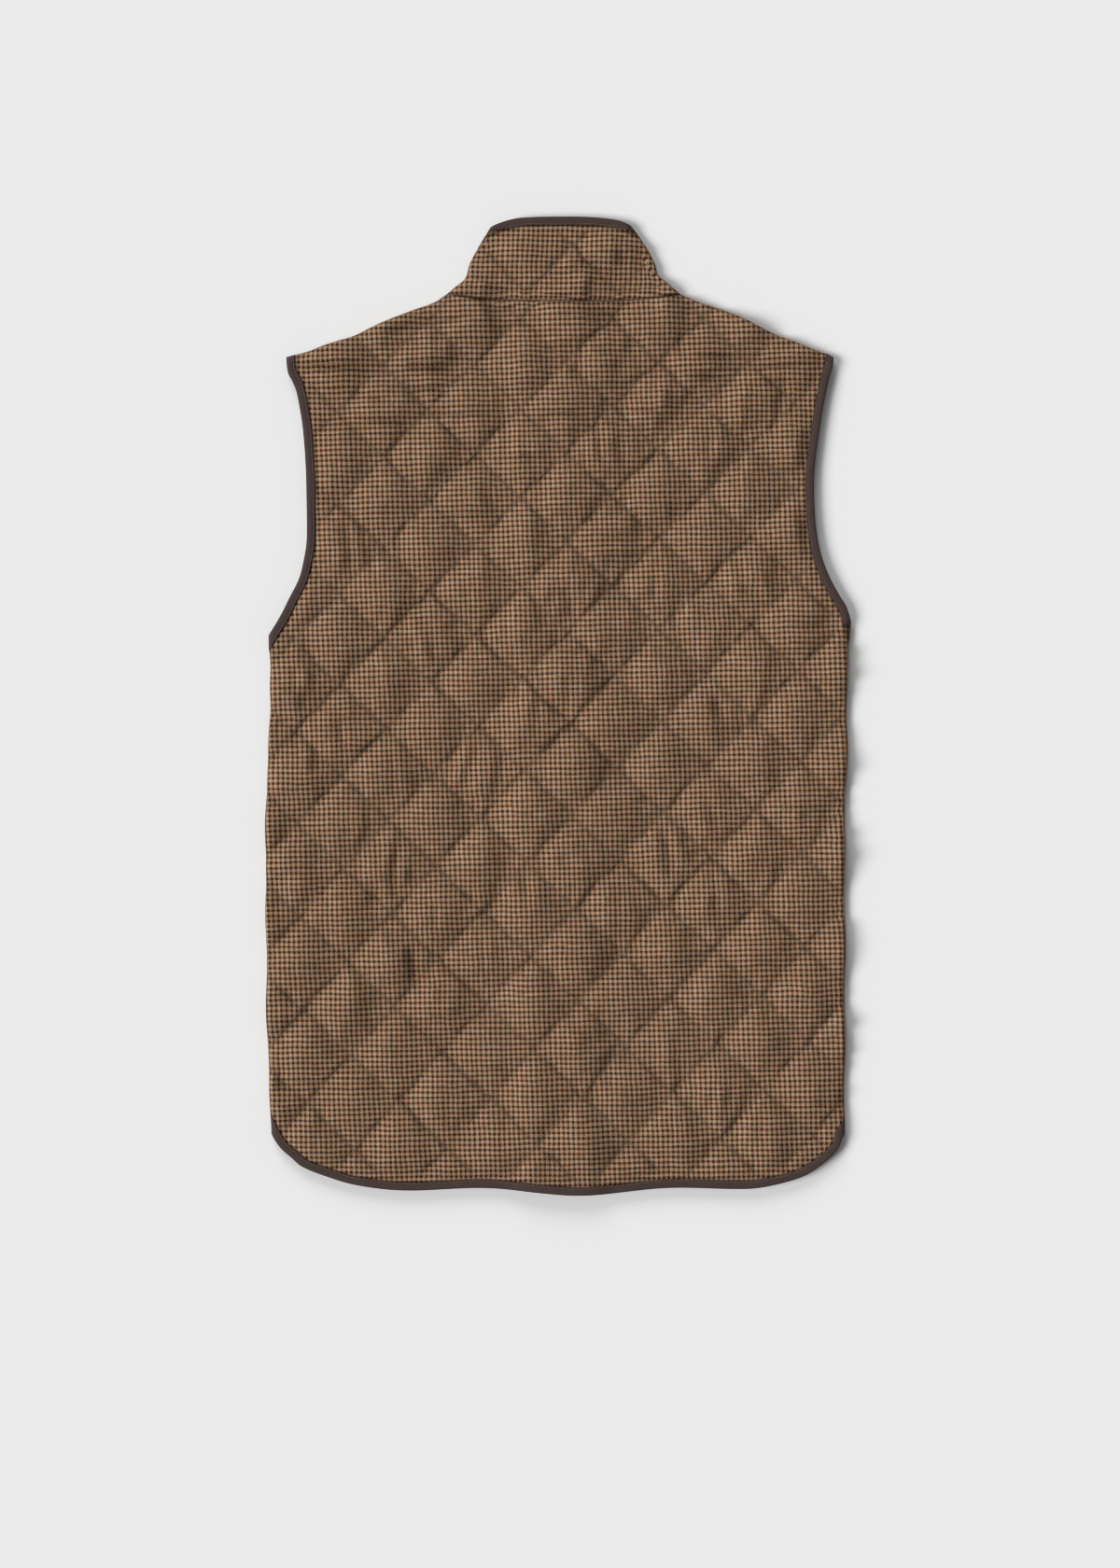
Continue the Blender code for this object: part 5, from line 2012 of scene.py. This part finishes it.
# ---- The press studs ----
@dataclass(frozen=True)
class PressStud:
    """A press stud through both fronts: cap below, back plate above, post between."""

    across: float = 0.002
    places: tuple[float, ...] = (0.302, 0.235, 0.130, 0.025, -0.080, -0.185, -0.290)
    cap_radius: float = 0.0060
    edge_radius: float = 0.0056
    post_radius: float = 0.0025
    cap_depth: float = 0.0010
    recess: float = 0.0002
    start: Pair = (0.00045, 0.0033)
    smooth_angle: float = 40.0
    corners: int = 40

    @property
    def section(self) -> tuple[Pair, ...]:
        """The turned section, from inside the lower face upwards.

        Returns:
            Rows of rise and the radius reached.
        """
        post = 2 * CLOTH.rest - CLOTH.gap - 2 * self.recess - 2 * self.cap_depth
        return (
            (-0.00020, 0.0036), (-0.00005, 0.0053), (0.00012, 0.0059), (0.00030, self.cap_radius),
            (self.cap_depth - 0.00055, self.cap_radius), (0.00013, self.edge_radius),
            (0.00002, self.post_radius), (post, self.post_radius), (0.00002, self.edge_radius),
            (0.00013, self.cap_radius), (self.cap_depth - 0.00040, self.cap_radius),
            (0.00020, 0.0052), (0.00003, 0.0020),
        )

    def extrude(self, rise: float, radius_share: float) -> None:
        """Draw the selected face out, then widen or narrow it.

        Args:
            rise: How far up it goes.
            radius_share: What its radius is multiplied by.
        """
        centre = (self.across, self.places[0], 0.0)
        bpy.ops.mesh.extrude_region_move(TRANSFORM_OT_translate={"value": (0.0, 0.0, rise)})
        bpy.ops.transform.resize(value=(radius_share, radius_share, 1.0), center_override=centre)

    def model(self) -> Piece:
        """Model one stud.

        Returns:
            The stud at the first place.
        """
        bpy.ops.object.select_all(action="DESELECT")
        level, last = self.start
        bpy.ops.mesh.primitive_circle_add(
            vertices=self.corners, radius=last, fill_type="NGON",
            location=(self.across, self.places[0], level),
        )
        piece = bpy.context.object
        bpy.ops.object.mode_set(mode="EDIT")
        bpy.ops.mesh.select_all(action="SELECT")
        bpy.ops.mesh.flip_normals()
        bpy.ops.mesh.select_all(action="DESELECT")
        bpy.ops.object.mode_set(mode="OBJECT")
        piece.data.polygons[0].select = True
        bpy.ops.object.mode_set(mode="EDIT")
        for rise, radius in self.section:
            self.extrude(rise, radius / last)
            last = radius
        bpy.ops.mesh.select_all(action="SELECT")
        bpy.ops.mesh.normals_make_consistent(inside=False)
        bpy.ops.object.mode_set(mode="OBJECT")
        bpy.ops.object.transform_apply(location=True, rotation=True, scale=True)
        bpy.ops.object.shade_smooth_by_angle(angle=math.radians(self.smooth_angle))
        return piece

    def build(self, finish: Material) -> list[Piece]:
        """Make every stud.

        Args:
            finish: The studs' material.

        Returns:
            The new objects.
        """
        first = self.model()
        first.data.materials.append(finish)
        studs = [first]
        for along in self.places[1:]:
            copy = first.copy()
            copy.data = first.data.copy()
            copy.data.transform(Matrix.Translation((0.0, along - self.places[0], 0.0)))
            bpy.context.scene.collection.objects.link(copy)
            studs.append(copy)
        for number, stud in enumerate(studs, start=1):
            stud.name = f"stud_{number}"
            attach(stud, "root")
            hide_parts(f"press_stud_{number}")
        return studs


# ---- The vest ----
# Seeds of the panels' and the bindings' unevenness, and the sizes that the collar, the right
# armhole's binding and the collar's binding have for themselves.
PANEL_SEEDS: dict[str, int] = {
    "back": 11, "collar_back": 31, "front_left": 51, "front_right": 71,
    "collar_front_left": 91, "collar_front_right": 95,
}
TAPE_SEED = 200
TAPE_SEED_STEP = 7
COLLAR_SEAM_RADIUS = 0.0024
COLLAR_PADDING = 0.62
COLLAR_GRAIN = (-0.030, 0.010)
RIGHT_ARMHOLE_SLANT = 0.4
COLLAR_TAPE_TAPER = 0.0032


@dataclass
class Vest:
    """All the cut-and-sewn pieces, from the hem to the collar."""

    panels: dict[str, PanelCloth] = field(default_factory=dict)
    pieces: dict[str, Piece] = field(default_factory=dict)

    def lay_out(self) -> None:
        """Set out every panel's sides."""
        bound, fold, butt = EdgeKind.BOUND, EdgeKind.FOLD, EdgeKind.BUTT
        left_side, right_side = scalloped(smooth_curve(LEFT_SIDE)), scalloped(smooth_curve(RIGHT_SIDE))
        left_shoulder = scalloped(smooth_curve(LEFT_SHOULDER))
        right_shoulder = scalloped(smooth_curve(RIGHT_SHOULDER))
        collar_left, collar_right = smooth_curve(COLLAR_LEFT_FOLD), smooth_curve(COLLAR_RIGHT_FOLD)
        neck, left_neck = smooth_curve(NECK_SEAM), smooth_curve(FRONT_LEFT_NECK)
        right_neck = smooth_curve(FRONT_RIGHT_NECK)
        self.add("back", Layer.UPPER, BACK_QUILTING, BACK_CREASES, [
            (bound, smooth_curve(BACK_HEM)), (fold, right_side), (bound, smooth_curve(RIGHT_ARMHOLE)),
            (fold, right_shoulder), (butt, neck), (fold, left_shoulder),
            (bound, smooth_curve(LEFT_ARMHOLE)), (fold, left_side),
        ])
        self.add("collar_back", Layer.UPPER, COLLAR_QUILTING, COLLAR_CREASES, [
            (butt, neck[::-1]), (fold, collar_right), (bound, smooth_curve(COLLAR_TOP)), (fold, collar_left),
        ])
        collar = self.panels["collar_back"]
        collar.overlap = COLLAR_OVERLAP
        collar.seam_radius = COLLAR_SEAM_RADIUS
        collar.padding = COLLAR_PADDING
        collar.grain = COLLAR_GRAIN
        self.add("front_left", Layer.LOWER, FRONT_QUILTING, FRONT_CREASES, [
            (bound, smooth_curve(FRONT_LEFT_EDGE)), (butt, left_neck), (fold, left_shoulder),
            (bound, smooth_curve(FRONT_LEFT_ARMHOLE)), (fold, left_side),
        ])
        self.add("front_right", Layer.LOWER_LIFTED, FRONT_QUILTING, FRONT_CREASES, [
            (fold, right_side), (bound, smooth_curve(FRONT_RIGHT_ARMHOLE)), (fold, right_shoulder),
            (butt, right_neck), (bound, smooth_curve(FRONT_RIGHT_EDGE)),
        ])
        self.add("collar_front_left", Layer.LOWER, COLLAR_QUILTING, (), [
            (butt, left_neck[::-1]), (bound, smooth_curve(COLLAR_LEFT_END)), (fold, collar_left),
        ])
        self.add("collar_front_right", Layer.LOWER_LIFTED, COLLAR_QUILTING, (), [
            (butt, right_neck[::-1]), (fold, collar_right), (bound, smooth_curve(COLLAR_RIGHT_END)),
        ])
        studs = [(PressStud.across, along) for along in PressStud.places]
        self.panels["collar_front_left"].studs = tuple(studs[:1])
        self.panels["front_left"].studs = tuple(studs[1:])

    def add(
        self, node: str, layer: Layer, quilting: Quilting, creases: Table,
        sides: list[tuple[EdgeKind, Array]],
    ) -> None:
        """Set out one panel.

        Args:
            node: The node that it replaces.
            layer: Where it lies.
            quilting: Its quilting.
            creases: Its creases.
            sides: Its sides, anticlockwise.
        """
        drawn = [Side(kind, curve) for kind, curve in sides]
        self.panels[node] = PanelCloth(node, drawn, layer, quilting, creases, PANEL_SEEDS[node])

    def tapes(self) -> list[BindingTape]:
        """List the bindings, each on its panel's side of that number.

        Returns:
            The bindings.
        """
        rows = (
            ("hem_binding_back", "back", 0), ("armhole_binding_right", "back", 2),
            ("armhole_binding_left", "back", 6), ("collar_binding_back", "collar_back", 2),
            ("front_binding_left", "front_left", 0), ("armhole_binding_left_front", "front_left", 3),
            ("front_binding_right", "front_right", 4), ("armhole_binding_right_front", "front_right", 1),
            ("collar_binding_front_left", "collar_front_left", 1),
            ("collar_binding_front_right", "collar_front_right", 2),
        )
        tapes = [
            BindingTape(node, self.panels[panel], index, TAPE_SEED + TAPE_SEED_STEP * number)
            for number, (node, panel, index) in enumerate(rows)
        ]
        tapes[1].largest_slant = RIGHT_ARMHOLE_SLANT
        tapes[3].taper = COLLAR_TAPE_TAPER
        return tapes

    def build(self) -> None:
        """Build and dress every piece."""
        tweed, tape = TweedFinish().make("tweed"), TapeFinish().make("binding_twill")
        thread, metal = ThreadFinish().make("sewing_thread"), StudFinish().make("dark_brass")
        sewn: dict[str, list[Piece]] = {}
        for node, panel in self.panels.items():
            self.pieces[node] = panel.build(tweed)
            self.pieces[f"{node}_stitches"] = panel.sew(thread)
            sewn[node] = [self.pieces[f"{node}_stitches"]]
        rows = Gathered()
        for strip in self.tapes():
            self.pieces[strip.node] = strip.build(tape)
            found = strip.stitch_rows()
            rows.add(np.vstack(found.points), found.faces)
        edge_rows = rows.make("binding_stitches", thread)
        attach(edge_rows, "root")
        self.pieces["binding_stitches"] = edge_rows
        for stud in PressStud().build(metal):
            self.pieces[stud.name] = stud
        fronts = ["front_left_cloth", "front_right_cloth"]
        collars = ["collar_front_left_cloth", "collar_front_right_cloth"]
        rests = {
            "back": fronts, "collar_back": collars,
            "front_right": fronts[:1], "collar_front_right": collars[:1],
        }
        for node, panel in self.panels.items():
            panel.declare(self.pieces[node], rests.get(node, []), sewn[node])
        for name, piece in self.pieces.items():
            LOG.info("%s: %d faces", name, len(piece.data.polygons))


# ---- The picture ----
@dataclass(frozen=True)
class Studio:
    """The pale floor, the soft light and the camera straight above."""

    look_at: Pair = (0.0018, -0.0668)
    distance: float = 3.4
    long_side: float = 1.344
    sensor: float = 36.0
    floor_size: float = 8.0
    floor_drop: float = 0.0003
    floor_color: Triple = (0.80, 0.80, 0.80)
    floor_roughness: float = 0.9
    floor_specular: float = 0.1
    sky: float = 0.22
    sky_color: Triple = (1.0, 1.0, 1.0)
    pixel_filter: float = 1.1
    lamps: tuple[tuple[str, float, float, float], ...] = (
        ("left", 3.00, 38.0, 192.0), ("top", 1.44, 29.0, 106.0),
    )
    lamp_distance: float = 2.0
    softness: float = 30.0

    def floor(self) -> Piece:
        """Lay the floor.

        Returns:
            The floor.
        """
        bpy.ops.object.select_all(action="DESELECT")
        bpy.ops.mesh.primitive_plane_add(size=self.floor_size, location=(0.0, 0.0, -self.floor_drop))
        floor = bpy.context.object
        floor.name = "floor"
        bpy.ops.object.transform_apply(location=True, rotation=True, scale=True)
        s = Shader("floor_paper")
        s.dress({
            "Base Color": (*self.floor_color, 1.0), "Roughness": self.floor_roughness,
            "Specular IOR Level": self.floor_specular,
        })
        floor.data.materials.append(s.material)
        return floor

    def lamp(self, name: str, power: float, height: float, turn: float) -> Piece:
        """Hang a broad soft lamp far away.

        Args:
            name: The lamp's name.
            power: Its strength.
            height: Degrees above the floor.
            turn: Degrees from +X towards +Y.

        Returns:
            The lamp.
        """
        data = bpy.data.lights.new(name, "SUN")
        data.energy = power
        data.angle = math.radians(self.softness)
        lamp = bpy.data.objects.new(name, data)
        up, turn = math.radians(height), math.radians(turn)
        towards = Vector((math.cos(turn) * math.cos(up), math.sin(turn) * math.cos(up), math.sin(up)))
        lamp.location = towards * self.lamp_distance
        lamp.rotation_euler = (-towards).to_track_quat("-Z", "Y").to_euler()
        bpy.context.scene.collection.objects.link(lamp)
        return lamp

    def camera(self) -> Piece:
        """Place the camera straight above, at the photograph's framing.

        Returns:
            The camera.
        """
        data = bpy.data.cameras.new("camera")
        data.sensor_width = self.sensor
        data.lens = self.sensor * self.distance / self.long_side
        camera = bpy.data.objects.new("camera", data)
        camera.location = (*self.look_at, self.distance)
        bpy.context.scene.collection.objects.link(camera)
        bpy.context.scene.camera = camera
        return camera

    def build(self) -> None:
        """Set up the floor, lamps, world and camera."""
        self.floor()
        for lamp in self.lamps:
            self.lamp(*lamp)
        world = bpy.data.worlds.new("studio")
        world.use_nodes = True
        background = world.node_tree.nodes["Background"]
        background.inputs["Color"].default_value = (*self.sky_color, 1.0)
        background.inputs["Strength"].default_value = self.sky
        bpy.context.scene.world = world
        bpy.context.scene.view_settings.view_transform = "Standard"
        bpy.context.scene.cycles.filter_width = self.pixel_filter
        self.camera()


def main() -> None:
    """Build the vest and its studio."""
    logging.basicConfig(level=logging.INFO, format="%(message)s")
    Studio().build()
    vest = Vest()
    vest.lay_out()
    vest.build()


if __name__ == "__main__":
    main()
